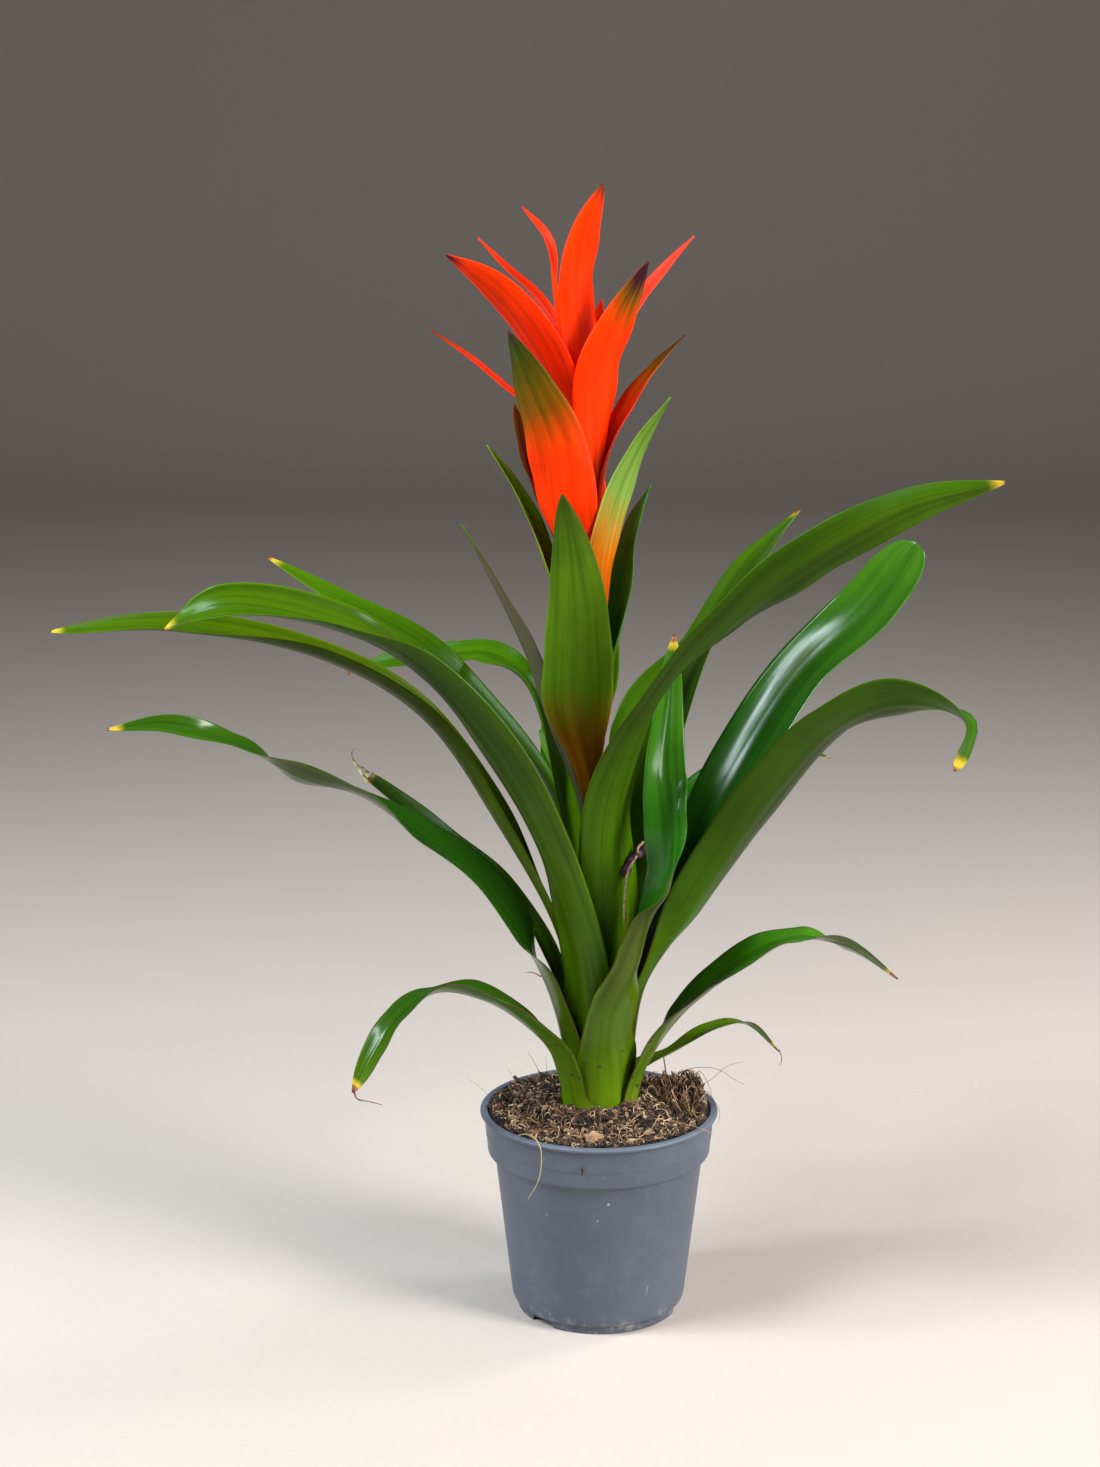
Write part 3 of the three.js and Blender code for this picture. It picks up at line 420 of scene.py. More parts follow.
def add_mesh(name, points, faces, smooth=True):
    mesh = bpy.data.meshes.new(name)
    mesh.from_pydata((np.asarray(points) * MM).tolist(), [], faces)
    mesh.polygons.foreach_set("use_smooth", [smooth] * len(mesh.polygons))
    mesh.validate()
    obj = bpy.data.objects.new(name, mesh)
    bpy.context.scene.collection.objects.link(obj)
    return obj


def set_values(obj, name, values):
    layer = obj.data.attributes.new(name, "FLOAT", "POINT")
    layer.data.foreach_set("value", np.asarray(values, np.float32).ravel())


def dress(obj, material, node=None):
    """Gives a piece its material and slot, lets it ride on the part, and puts it in place of a CAD node"""
    obj.data.materials.append(material)
    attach(obj, "root")
    if node:
        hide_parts(node)


def blade_mesh(name, points, normal, share, width, seed, ribs, wave):
    """A closed blade with a thin margin, a channel along its middle, fine ribs and a little waviness"""
    rows, columns = points.shape[:2]
    s = np.linspace(-1, 1, columns)[None]
    along = share[:, None]
    size = np.minimum(width / RELIEF_WIDTH, 1)[:, None]
    channel = np.exp(-(s / CHANNEL_WIDTH) ** 2)
    relief = RIB_DEPTH * np.cos(s * ribs * pi) - CHANNEL_DEPTH * channel
    phase = seed * 1.7
    relief = relief + wave * s ** 2 * np.sin(along * 31 + phase + 1.5 * s) * ease(along * 3)
    relief = relief + wave * np.sin(along * 13 + phase * 2) * s * ease(along * 3)
    points = points + normal * (relief * size)[..., None]
    half = lerp(THICK, MARGIN_THICK, np.abs(s) ** 6) / 2 * np.ones((rows, 1))
    upper = points + normal * half[..., None]
    lower = points - normal * half[..., None]
    top = np.arange(rows * columns).reshape(rows, columns)
    low = top + rows * columns

    def quads(a, b, c, d):
        return np.stack([a.ravel(), b.ravel(), c.ravel(), d.ravel()], 1).tolist()

    faces = quads(top[:-1, :-1], top[1:, :-1], top[1:, 1:], top[:-1, 1:])
    faces += quads(low[:-1, :-1], low[:-1, 1:], low[1:, 1:], low[1:, :-1])
    faces += quads(top[:-1, 0], low[:-1, 0], low[1:, 0], top[1:, 0])
    faces += quads(top[:-1, -1], top[1:, -1], low[1:, -1], low[:-1, -1])
    faces += quads(top[0, :-1], top[0, 1:], low[0, 1:], low[0, :-1])
    faces += quads(top[-1, :-1], low[-1, :-1], low[-1, 1:], top[-1, 1:])
    obj = add_mesh(name, np.concatenate([upper.reshape(-1, 3), lower.reshape(-1, 3)]), faces)
    across = np.broadcast_to(s, (rows, columns)).ravel()
    length = np.broadcast_to(along, (rows, columns)).ravel()
    set_values(obj, "across", np.tile(across, 2))
    set_values(obj, "along", np.tile(length, 2))
    set_values(obj, "upper", np.repeat([1.0, 0.0], rows * columns))
    return obj


class Shader:
    """A node material, built up by calls that add its nodes"""

    def __init__(self, name):
        self.material = bpy.data.materials.new(name)
        self.material.use_nodes = True
        self.tree = self.material.node_tree
        self.tree.nodes.clear()

    def put(self, socket, value):
        if isinstance(value, bpy.types.NodeSocket):
            self.tree.links.new(value, socket)
        elif isinstance(value, (tuple, list)) and len(value) == 3 and socket.type == "RGBA":
            socket.default_value = (*value, 1)
        else:
            socket.default_value = value

    def add(self, kind, inputs=(), output=0, **settings):
        node = self.tree.nodes.new("ShaderNode" + kind)
        for key, value in settings.items():
            setattr(node, key, value)
        for key, value in dict(inputs).items():
            self.put(node.inputs[key], value)
        return node.outputs[output]

    def math(self, operation, a, b=0.0, c=0.0):
        return self.add("Math", {0: a, 1: b, 2: c}, operation=operation)

    def times(self, a, b):
        return self.math("MULTIPLY", a, b)

    def fit(self, value, factor, offset):
        return self.math("MULTIPLY_ADD", value, factor, offset)

    def flip(self, value):
        return self.math("SUBTRACT", 1.0, value)

    def step(self, value, low, high):
        """0 below low and 1 above high, smoothed between"""
        inputs = {"Value": value, "From Min": low, "From Max": high}
        return self.add("MapRange", inputs, interpolation_type="SMOOTHSTEP")

    def mix(self, factor, a, b, blend="MIX"):
        node = self.tree.nodes.new("ShaderNodeMix")
        node.data_type = "RGBA"
        node.blend_type = blend
        self.put(node.inputs[0], factor)
        self.put(node.inputs[6], a)
        self.put(node.inputs[7], b)
        return node.outputs[2]

    def scaled(self, colour, factors):
        return self.mix(1.0, colour, factors, "MULTIPLY")

    def tinged(self, colour, amount, factors):
        """The colour, scaled by factors where the amount is 1"""
        return self.mix(amount, colour, self.scaled(colour, factors))

    def ramp(self, value, stops):
        """A colour that changes at the places given, as (place, colour)"""
        node = self.tree.nodes.new("ShaderNodeValToRGB")
        ramp = node.color_ramp
        ramp.elements[0].position, ramp.elements[0].color = stops[0][0], (*stops[0][1], 1)
        ramp.elements[1].position, ramp.elements[1].color = stops[-1][0], (*stops[-1][1], 1)
        for place, colour in stops[1:-1]:
            ramp.elements.new(place).color = (*colour, 1)
        self.put(node.inputs[0], value)
        return node.outputs[0]

    def value(self, name):
        return self.add("Attribute", output=2, attribute_name=name)

    def vector(self, x, y, z=0.0):
        return self.add("CombineXYZ", {0: x, 1: y, 2: z})

    def noise(self, vector, scale, detail=3.0, rough=0.5):
        inputs = {"Vector": vector, "Scale": scale, "Detail": detail, "Roughness": rough}
        return self.add("TexNoise", inputs)

    def place(self):
        return self.add("TexCoord", output="Object")

    def stretched(self, factors):
        return self.add("VectorMath", {0: self.place(), 1: factors}, operation="MULTIPLY")

    def height(self):
        return self.add("SeparateXYZ", {0: self.place()}, output=2)

    def bump(self, height, strength, distance, normal=None):
        inputs = {"Height": height, "Strength": strength, "Distance": distance}
        if normal:
            inputs["Normal"] = normal
        return self.add("Bump", inputs)

    def finish(self, colour, roughness, normal=None, **extra):
        inputs = {"Base Color": colour, "Roughness": roughness, **extra}
        if normal:
            inputs["Normal"] = normal
        surface = self.add("BsdfPrincipled", inputs)
        out = self.tree.nodes.new("ShaderNodeOutputMaterial")
        self.tree.links.new(surface, out.inputs["Surface"])
        return self.material


def blade_skin(sh, seed, lower, upper, gloss):
    """Colours a leaf or bract from its two faces' colours: streaks and veins along it, painted shade in the
    channel along the middle of its upper face, and a painted highlight along its thin margin"""
    across, along = sh.value("across"), sh.value("along")
    streak = sh.noise(sh.vector(sh.times(across, 4.0), sh.times(along, 2.0), seed), 1.0)
    vein = sh.noise(sh.vector(sh.times(across, 30.0), sh.times(along, 3.0), seed), 1.0, 2.0)
    blotch = sh.noise(sh.place(), 45.0)
    colour = sh.mix(sh.value("upper"), lower, upper)
    colour = sh.tinged(colour, sh.step(streak, 0.4, 0.7), (0.66, 0.72, 0.7))
    colour = sh.tinged(colour, sh.step(vein, 0.5, 0.75), (1.25, 1.2, 1.1))
    colour = sh.tinged(colour, sh.step(blotch, 0.45, 0.75), (0.82, 0.88, 0.8))
    edge = sh.math("ABSOLUTE", across)
    # Painted shade: the channel along the middle of the upper face is darkened
    channel = sh.times(sh.step(edge, 0.45, 0.05), sh.value("upper"))
    colour = sh.tinged(colour, sh.times(channel, 0.5), (0.55, 0.62, 0.6))
    # Painted highlight: the thin margin is made paler and whiter
    colour = sh.tinged(colour, sh.times(sh.step(edge, 0.94, 1.0), 0.5), (2.0, 1.7, 2.0))
    rough = sh.fit(streak, 0.1, lerp(0.46, 0.38, gloss))
    rough = sh.fit(sh.value("upper"), -0.18 * gloss, rough)
    normal = sh.bump(vein, 0.25, 0.0002)
    return colour, rough, sh.bump(blotch, 0.1, 0.001, normal)


def leaf_material(name, seed, look):
    """A leaf: lime green at its foot, with worn margins, veins and specks there, and a dry tip; painted
    light and shade along its lower face
    """
    upper, lower, yellow_from, dry_from, wax = look
    sh = Shader(name + "_skin")
    height = sh.height()
    across, length = sh.value("across"), sh.value("along")
    wander = sh.noise(sh.place(), 120.0)
    foot = sh.flip(sh.step(sh.fit(wander, 0.03, height), *FOOT_FADE))
    base = sh.ramp(sh.times(height, 5.0), [(0.5, LIME), (0.62, blend(LIME, FRESH, 0.5)), (0.85, UNDER)])
    # Painted light and shade along the lower face: lighter near its foot and tip, darker in its middle
    below = sh.ramp(length, [
        (0.28, shade(lower, 1.6)),
        (0.52, shade(lower, 0.7)),
        (0.76, shade(lower, 0.8)),
        (0.95, blend(lower, FRESH, 0.6)),
    ])
    above = sh.ramp(length, [(0.6, upper), (0.92, blend(upper, FRESH, 0.4))])
    colour, rough, normal = blade_skin(sh, seed, sh.mix(foot, below, base), sh.mix(foot, above, base), 1.0)

    # Long stains on the lower face, and fine dark veins on the sheath
    drift = sh.noise(sh.vector(sh.times(across, 1.1), sh.times(length, 3.0), seed), 1.3, 1.0)
    stain = sh.times(sh.step(drift, 0.48, 0.66), sh.flip(sh.value("upper")))
    colour = sh.tinged(colour, sh.times(stain, 0.45), (0.95, 0.58, 1.5))
    line = sh.noise(sh.vector(sh.times(across, 70.0), sh.times(height, 8.0), seed), 1.0, 1.0)
    line = sh.times(sh.step(line, 0.52, 0.66), foot)
    colour = sh.tinged(colour, sh.times(line, 0.7), (0.5, 0.66, 0.5))

    # Worn brown margins and specks low on the sheath
    margin = sh.step(sh.math("ABSOLUTE", across), 0.945, 0.965)
    worn = sh.times(margin, sh.flip(sh.step(height, *WORN_FADE)))
    worn = sh.times(worn, sh.step(sh.noise(sh.place(), 60.0), 0.36, 0.44))
    colour = sh.mix(sh.times(worn, 0.9), colour, (0.06, 0.022, 0.008))
    spot = sh.times(sh.step(sh.noise(sh.place(), 230.0, 1.0), 0.685, 0.705), foot)
    colour = sh.mix(sh.times(spot, 0.8), colour, (0.07, 0.03, 0.012))

    # The tip turns yellow, then dry, along a wandering line
    along = sh.fit(sh.math("SUBTRACT", wander, 0.5), 0.01, length)
    dry = sh.mix(sh.step(along, dry_from - 0.003, dry_from + 0.004), YELLOW, DRY)
    dry = sh.mix(sh.step(along, lerp(dry_from, 1, 0.5), 1.0), dry, DARK_DRY)
    colour = sh.mix(sh.step(along, yellow_from - 0.012, yellow_from + 0.006), colour, dry)
    sheen = {"Specular IOR Level": 0.1, "Specular Tint": (0.7, 1.0, 0.8, 1)}
    return sh.finish(colour, rough, normal, **sheen, **{"Coat Weight": wax, "Coat Roughness": 0.18})


def bract_material(name, seed, looks):
    """A bract: its colour runs along it from its foot to its tip, and wanders a little"""
    sh = Shader(name + "_skin")
    wander = sh.noise(sh.vector(sh.times(sh.value("across"), 3.0), sh.value("along"), seed), 1.5)
    along = sh.fit(sh.math("SUBTRACT", wander, 0.5), 0.16, sh.value("along"))
    inner, outer = [sh.ramp(along, stops) for stops in looks]
    colour, rough, normal = blade_skin(sh, seed, outer, inner, 0.2)
    sheen = {"Specular IOR Level": 0.12, "Specular Tint": (1.0, 0.6, 0.4, 1)}
    return sh.finish(colour, rough, normal, **sheen)


def litter_material(name, shades, texture, limits, fleck, rough, relief, plain=False, stretch=(1, 1, 1)):
    """Small dry things, each in the shade that its tint picks, with flecks over it"""
    sh = Shader(name)
    grain = sh.noise(sh.stretched(stretch), *texture)
    colour = sh.ramp(sh.value("tint"), shades)
    colour = sh.mix(sh.step(grain, *limits), colour, fleck if plain else sh.scaled(colour, fleck))
    return sh.finish(colour, rough, sh.bump(grain, *relief))


def make_leaf(leaf, seed):
    name = "leaf_" + leaf.name
    x, y, z = leaf.path[0][:3]
    radius = SHEATH_RADIUS - LAYER_STEP * leaf.layer
    turn = turn_to(degrees(atan2(y, x)), leaf.sheath)
    feet = []
    for direction, reach, height in (
        (leaf.sheath, radius, SHEATH_FOOT),
        (leaf.sheath + turn / 4, lerp(radius, hypot(x, y), 0.15), (SHEATH_FOOT + z) / 2),
    ):
        angle = radians(direction)
        feet.append((reach * cos(angle), reach * sin(angle), height))
    foot_width = radius * radians(leaf.wrap)
    grid = blade_grid(leaf, feet, foot_width, LEAF_GROWTH, LEAF_STATIONS, LEAF_COLUMNS, False)
    obj = blade_mesh(name + "_blade", *grid, seed, ribs=9, wave=0.4)
    dress(obj, leaf_material(name, seed, leaf.look), name)


def make_bract(bract, number):
    name, seed = f"bract_{number:02d}", number + BRACT_SEEDS
    stem_x, stem_radius = stem_at(bract.height)
    clasp = float(stem_radius + CLASP_GAP)
    angle = radians(bract.faces)
    foot = (stem_x + clasp * cos(angle), clasp * sin(angle), bract.height)
    foot_width = clasp * radians(bract.wrap)
    grid = blade_grid(bract, [foot], foot_width, BRACT_GROWTH, BRACT_STATIONS, BRACT_COLUMNS, True)
    obj = blade_mesh(name + "_blade", *grid, seed, ribs=7, wave=0.35)
    dress(obj, bract_material(name, seed, (bract.inner, bract.outer)), name)


def ring_quads(rows, sides):
    """Faces between rows of points that each run once round"""
    faces = []
    for i in range(rows - 1):
        for k in range(sides):
            a, b = i * sides + k, i * sides + (k + 1) % sides
            faces.append((a, b, b + sides, a + sides))
    return faces


def ring_caps(rows, sides):
    last = (rows - 1) * sides
    return [tuple(reversed(range(sides))), tuple(range(last, last + sides))]


def tube(path, radii, sides=5):
    """Points and faces of a closed tube along a path"""
    path = np.asarray(path, float)
    tangent = unit(np.gradient(path, axis=0))
    across = unit(np.cross(tangent, (0.31, 0.17, 0.94)))
    lift = np.cross(tangent, across)
    radii = np.broadcast_to(radii, len(path))
    rows = []
    for k in range(sides):
        angle = 2 * pi * k / sides
        rows.append(path + radii[:, None] * (cos(angle) * across + sin(angle) * lift))
    points = np.stack(rows, 1).reshape(-1, 3)
    return points, ring_quads(len(path), sides) + ring_caps(len(path), sides)


class Heap:
    """Many small shapes gathered in one mesh, each with a tint from 0 to 1"""

    def __init__(self):
        self.points, self.faces, self.tints, self.count = [], [], [], 0

    def add(self, points, faces, tint):
        self.points.append(points)
        self.faces += [tuple(i + self.count for i in face) for face in faces]
        self.tints += [tint] * len(points)
        self.count += len(points)

    def build(self, name, smooth):
        obj = add_mesh(name, np.concatenate(self.points), self.faces, smooth)
        set_values(obj, "tint", self.tints)
        return obj


def turned(rows, sides):
    """Points and faces of a closed lathe about +Z from rows of radius and height that form a loop"""
    rows = np.array(rows, float)
    count = len(rows)
    points = []
    for k in range(sides):
        angle = 2 * pi * k / sides
        points.append(np.stack([rows[:, 0] * cos(angle), rows[:, 0] * sin(angle), rows[:, 1]], 1))
    faces = []
    for k in range(sides):
        a, b = k * count, (k + 1) % sides * count
        for i in range(count):
            j = (i + 1) % count
            faces.append((a + i, b + i, b + j, a + j))
    return np.concatenate(points), faces


def rounded(rows, radius, steps=3):
    """A loop of radius and height rows with each corner rounded by an arc-like curve"""
    out = []
    count = len(rows)
    for i in range(count):
        before, here, after = (np.array(rows[(i + k) % count], float) for k in (-1, 0, 1))
        back_run, ahead_run = np.linalg.norm(before - here), np.linalg.norm(after - here)
        cut = min(radius, back_run / 2.2, ahead_run / 2.2)
        start = here + (before - here) / back_run * cut
        end = here + (after - here) / ahead_run * cut
        for t in np.linspace(0, 1, steps + 1):
            out.append(start * (1 - t) ** 2 + here * 2 * t * (1 - t) + end * t ** 2)
    return out


def cut(obj, cutter):
    """Cuts one mesh out of another and deletes the cutter"""
    modifier = obj.modifiers.new("cut", "BOOLEAN")
    modifier.operation = "DIFFERENCE"
    modifier.solver = "EXACT"
    modifier.object = cutter
    graph = bpy.context.evaluated_depsgraph_get()
    mesh = bpy.data.meshes.new_from_object(obj.evaluated_get(graph))
    obj.modifiers.clear()
    obj.data = mesh
    bpy.data.objects.remove(cutter)


def make_pot():
    band_bottom = POT_HEIGHT - BAND_HEIGHT
    lip_bottom = POT_HEIGHT - LIP_HEIGHT
    floor_top = FOOT_HEIGHT + FLOOR
    rows = [
        (0.02, 0),
        (HUB_RADIUS, 0),
        (HUB_RADIUS + 1.5, FOOT_HEIGHT),
        (FOOT_RADIUS - FOOT_WIDTH, FOOT_HEIGHT),
        (FOOT_RADIUS - FOOT_WIDTH, 0),
        (FOOT_RADIUS, 0),
        (FOOT_RADIUS, FOOT_HEIGHT),
        (WALL_BOTTOM_RADIUS - 0.8, FOOT_HEIGHT + 1.4),
        (WALL_BOTTOM_RADIUS, FOOT_HEIGHT + 4),
        (WALL_TOP_RADIUS, band_bottom - 2),
        (BAND_BOTTOM_RADIUS, band_bottom),
        (BAND_BOTTOM_RADIUS + 0.5, band_bottom + STEP_HEIGHT),
        (BAND_BOTTOM_RADIUS + 0.9, band_bottom + STEP_HEIGHT + 0.6),
        (BAND_TOP_RADIUS, lip_bottom),
        (LIP_RADIUS - 0.5, lip_bottom),
        (LIP_RADIUS, lip_bottom + 0.7),
        (LIP_RADIUS, POT_HEIGHT - 0.6),
        (LIP_RADIUS - 0.7, POT_HEIGHT),
        (BAND_TOP_RADIUS - WALL, POT_HEIGHT),
        (BAND_BOTTOM_RADIUS - WALL, band_bottom + WALL),
        (WALL_TOP_RADIUS - WALL, band_bottom - 2 + WALL),
        (WALL_BOTTOM_RADIUS - WALL, floor_top + 2),
        (WALL_BOTTOM_RADIUS - WALL - 2, floor_top),
        (0.02, floor_top),
    ]
    pot = add_mesh("pot_body", *turned(rounded(rows, CORNER), POT_SIDES))
    for k in range(DRAIN_COUNT):
        angle = 2 * pi * k / DRAIN_COUNT
        x, y = DRAIN_CIRCLE * cos(angle), DRAIN_CIRCLE * sin(angle)
        points, faces = tube([(x, y, -2), (x, y, 9)], DRAIN_RADIUS, 24)
        cut(pot, add_mesh("drain_cutter", points, faces, False))
    half = NOTCH_WIDTH / 2
    notch_top = FOOT_HEIGHT - 0.5
    outline = [(-half, -1), (half, -1), (half - 0.6, 2.2), (half - 1.9, notch_top), (1.2 - half, notch_top)]
    for k in range(NOTCH_COUNT):
        angle = radians(NOTCH_DIRECTION) + 2 * pi * k / NOTCH_COUNT
        out = np.array([cos(angle), sin(angle), 0])
        side = np.array([-sin(angle), cos(angle), 0])
        points = [out * reach + side * s + (0, 0, z) for reach in NOTCH_REACH for s, z in outline]
        faces = ring_caps(2, len(outline)) + ring_quads(2, len(outline))
        cut(pot, add_mesh("notch_cutter", points, faces, False))
    pot.data.polygons.foreach_set("use_smooth", [True] * len(pot.data.polygons))
    pot.data.set_sharp_from_angle(angle=radians(35))
    pot.data.materials.clear()
    dress(pot, pot_material(), "pot")


def pot_material():
    """Slate grey moulded plastic: a paler lip, faint mottling, dust near the foot, scuffs and specks"""
    sh = Shader("pot_plastic")
    place, height = sh.place(), sh.height()
    mottle = sh.noise(place, 22.0, 4.0)
    colour = sh.mix(sh.step(mottle, 0.35, 0.7), (0.078, 0.096, 0.134), (0.096, 0.116, 0.158))
    lip = sh.step(height, 0.1028, 0.1048)
    colour = sh.mix(sh.times(lip, 0.22), colour, (0.21, 0.24, 0.29))
    low = sh.flip(sh.step(height, 0.003, 0.012))
    dust = sh.step(sh.noise(place, 140.0, 6.0, 0.7), 0.5, 0.7)
    colour = sh.mix(sh.times(dust, 0.1), colour, (0.3, 0.29, 0.28))
    colour = sh.mix(sh.times(sh.times(dust, low), 0.6), colour, (0.42, 0.4, 0.38))
    scuff = sh.step(sh.noise(sh.stretched((1.0, 1.0, 0.25)), 420.0, 2.0, 0.4), 0.74, 0.8)
    patch = sh.step(sh.noise(place, 30.0), 0.52, 0.65)
    colour = sh.mix(sh.times(sh.times(scuff, patch), 0.45), colour, (0.36, 0.39, 0.44))
    speck = sh.step(sh.noise(place, 380.0, 0.0), 0.865, 0.885)
    colour = sh.mix(speck, colour, (0.45, 0.42, 0.36))
    rough = sh.fit(mottle, 0.16, 0.36)
    normal = sh.bump(sh.noise(place, 900.0, 2.0), 0.06, 0.0003)
    return sh.finish(colour, rough, sh.bump(mottle, 0.08, 0.0015, normal), **{"Specular IOR Level": 0.4})


def soil_height(x, y):
    """Height of the soil: mounded round the plant, lumpy, clumped, and banked against the pot's wall"""
    reach = hypot(x, y)
    waves = 0.7 * sin(x * 0.31 + 1) * cos(y * 0.27) + 0.5 * sin(x * 0.13 - y * 0.37)
    mound = MOUND_HEIGHT * exp(-((reach - MOUND_RADIUS) / MOUND_WIDTH) ** 2)
    rise = waves + mound
    for cx, cy, size, height in SOIL_CLUMPS:
        rise += height * exp(-((x - cx) ** 2 + (y - cy) ** 2) / size ** 2)
    lumps = 1.7 * noise.noise(Vector((x / 6, y / 6, 3))) + 1.0 * noise.noise(Vector((x / 2.1, y / 2.1, 7)))
    fade = 1 - max(0, reach - 52) / 12
    bank = BANK_HEIGHT * float(ease((reach - BANK_START) / BANK_WIDTH))
    return SOIL_EDGE + (rise + lumps) * fade + bank


def make_soil():
    band_bottom = POT_HEIGHT - BAND_HEIGHT
    bottom = FOOT_HEIGHT + FLOOR + 0.3
    angles = np.linspace(0, 2 * pi, 220, endpoint=False)
    round_rows = np.stack([np.cos(angles), np.sin(angles)], 1)
    rings = []
    for radius, z in (
        (0.5, bottom),
        (WALL_BOTTOM_RADIUS - 4.2, bottom),
        (WALL_BOTTOM_RADIUS - 1.9, bottom + 2),
        (WALL_TOP_RADIUS - 2.2, band_bottom - 0.2),
        (BAND_BOTTOM_RADIUS - 2.2, band_bottom + 3.5),
    ):
        rings.append(np.column_stack([round_rows * radius, np.full(len(angles), z)]))
    for radius in np.linspace(SOIL_RADIUS, 1.5, 54):
        top = [soil_height(x, y) for x, y in round_rows * radius]
        rings.append(np.column_stack([round_rows * radius, top]))
    faces = ring_quads(len(rings), len(angles)) + ring_caps(len(rings), len(angles))
    soil = add_mesh("soil_bed", np.concatenate(rings), faces)
    # Dark peat, made near black as painted shade in the gaps between the crumbs and fibres
    sh = Shader("peat_and_painted_shade")
    grain = sh.noise(sh.place(), 420.0, 6.0, 0.7)
    colour = sh.ramp(grain, [
        (0.3, (0.004, 0.003, 0.002)), (0.55, (0.018, 0.01, 0.006)), (0.8, (0.07, 0.036, 0.018)),
    ])
    dress(soil, sh.finish(colour, 0.9, sh.bump(grain, 0.9, 0.0012)), "soil")


def icosahedron():
    g = (1 + 5 ** 0.5) / 2
    corners = [(0, a, b * g) for a in (-1, 1) for b in (-1, 1)]
    corners += [(a, b * g, 0) for a in (-1, 1) for b in (-1, 1)]
    corners += [(b * g, 0, a) for a in (-1, 1) for b in (-1, 1)]
    points = unit(np.array(corners, float))
    near = np.linalg.norm(points[:, None] - points[None], axis=2) < 1.1
    faces = []
    for i, j, k in combinations(range(12), 3):
        if near[i, j] and near[j, k] and near[i, k]:
            outward = np.cross(points[j] - points[i], points[k] - points[i]) @ points[i] > 0
            faces.append((i, j, k) if outward else (i, k, j))
    return points, faces


def random_turn(rng):
    """A random rotation, as the orthogonal part of a random matrix"""
    turn = np.linalg.qr(rng.normal(size=(3, 3)))[0]
    return turn * np.sign(np.linalg.det(turn))


def soil_spot(rng, low=20.0, high=SOIL_RADIUS - 1.2):
    radius = sqrt(lerp(low ** 2, high ** 2, rng.random()))
    angle = 2 * pi * rng.random()
    return radius * cos(angle), radius * sin(angle)


def make_crumbs():
    """Crumbs of peat, most of them nearly black and some of them tan"""
    rng = np.random.default_rng(11)
    corners, faces = icosahedron()
    heap = Heap()
    for _ in range(CRUMB_COUNT):
        size = 0.5 + 1.6 * rng.random() ** 2.5
        x, y = soil_spot(rng)
        squash = size * (0.5 + 0.7 * rng.random(3)) * (1 + 0.5 * (rng.random((12, 1)) - 0.5))
        points = (corners * squash) @ random_turn(rng).T + (x, y, soil_height(x, y) + size * 0.3)
        heap.add(points, faces, rng.random())
    shades = [
        (0.0, (0.01, 0.006, 0.005)), (0.45, (0.02, 0.011, 0.007)), (0.7, (0.13, 0.068, 0.038)),
        (0.85, (0.25, 0.13, 0.075)), (1.0, (0.48, 0.32, 0.21)),
    ]
    material = litter_material(
        "peat_crumbs", shades, (1500.0,), (0.4, 0.7), (0.012, 0.007, 0.005), 0.88, (0.6, 0.0004),
        plain=True)
    dress(heap.build("soil_crumbs", False), material)


def make_chips():
    """Flat flakes of bark lying on the soil"""
    rng = np.random.default_rng(23)
    heap = Heap()
    box = np.array([(x, y, z) for x in (-1, 1) for y in (-1, 1) for z in (-1, 1)], float)
    faces = [(0, 1, 3, 2), (4, 6, 7, 5), (0, 4, 5, 1), (2, 3, 7, 6), (0, 2, 6, 4), (1, 5, 7, 3)]
    for _ in range(CHIP_COUNT):
        length, breadth = 1.2 + 3.4 * rng.random() ** 2, 0.5 + 1.0 * rng.random()
        size = np.array([length, breadth, 0.25 + 0.25 * rng.random()])
        x, y = soil_spot(rng)
        turn = 2 * pi * rng.random()
        tilt = rng.normal(size=2) * 0.25
        flat = box * size * (1 + 0.35 * (rng.random((8, 3)) - 0.5))
        across = flat[:, 0] * cos(turn) - flat[:, 1] * sin(turn)
        ahead = flat[:, 0] * sin(turn) + flat[:, 1] * cos(turn)
        lift = flat[:, 2] + across * tilt[0] + ahead * tilt[1]
        heap.add(np.stack([across + x, ahead + y, lift + soil_height(x, y) + 1.3], 1), faces, rng.random())
    shades = [
        (0.0, (0.03, 0.013, 0.008)), (0.5, (0.11, 0.045, 0.025)), (0.85, (0.25, 0.12, 0.065)),
        (1.0, (0.4, 0.27, 0.15)),
    ]
    material = litter_material(
        "bark_chips", shades, (900.0, 4.0), (0.35, 0.7), (0.45, 0.42, 0.4), 0.8, (0.6, 0.0004),
        stretch=(0.3, 1.0, 1.0))
    dress(heap.build("soil_chips", False), material)


def lump(centre, size, seed, turn):
    """A rough lump, finely divided, swollen and dented by noise"""
    rows, columns = 14, 22
    rings = []
    for i in range(rows):
        polar = pi * (i + 0.5) / rows
        ring = []
        for k in range(columns):
            angle = 2 * pi * k / columns
            out = Vector((sin(polar) * cos(angle), sin(polar) * sin(angle), cos(polar)))
            swell = 1 + 0.28 * noise.noise(out * 1.7 + Vector((seed, 0, 0)))
            swell += 0.12 * noise.noise(out * 5 + Vector((0, seed, 0)))
            ring.append([c * s * swell for c, s in zip(out, size)])
        rings.append(ring)
    flat = np.array(rings).reshape(-1, 3)
    cos_turn, sin_turn = cos(turn), sin(turn)
    x, y = flat[:, 0] * cos_turn - flat[:, 1] * sin_turn, flat[:, 0] * sin_turn + flat[:, 1] * cos_turn
    faces = [(a, d, c, b) for a, b, c, d in ring_quads(rows, columns)]
    faces += [tuple(reversed(cap)) for cap in ring_caps(rows, columns)]
    return np.stack([x, y, flat[:, 2]], 1) + centre, faces


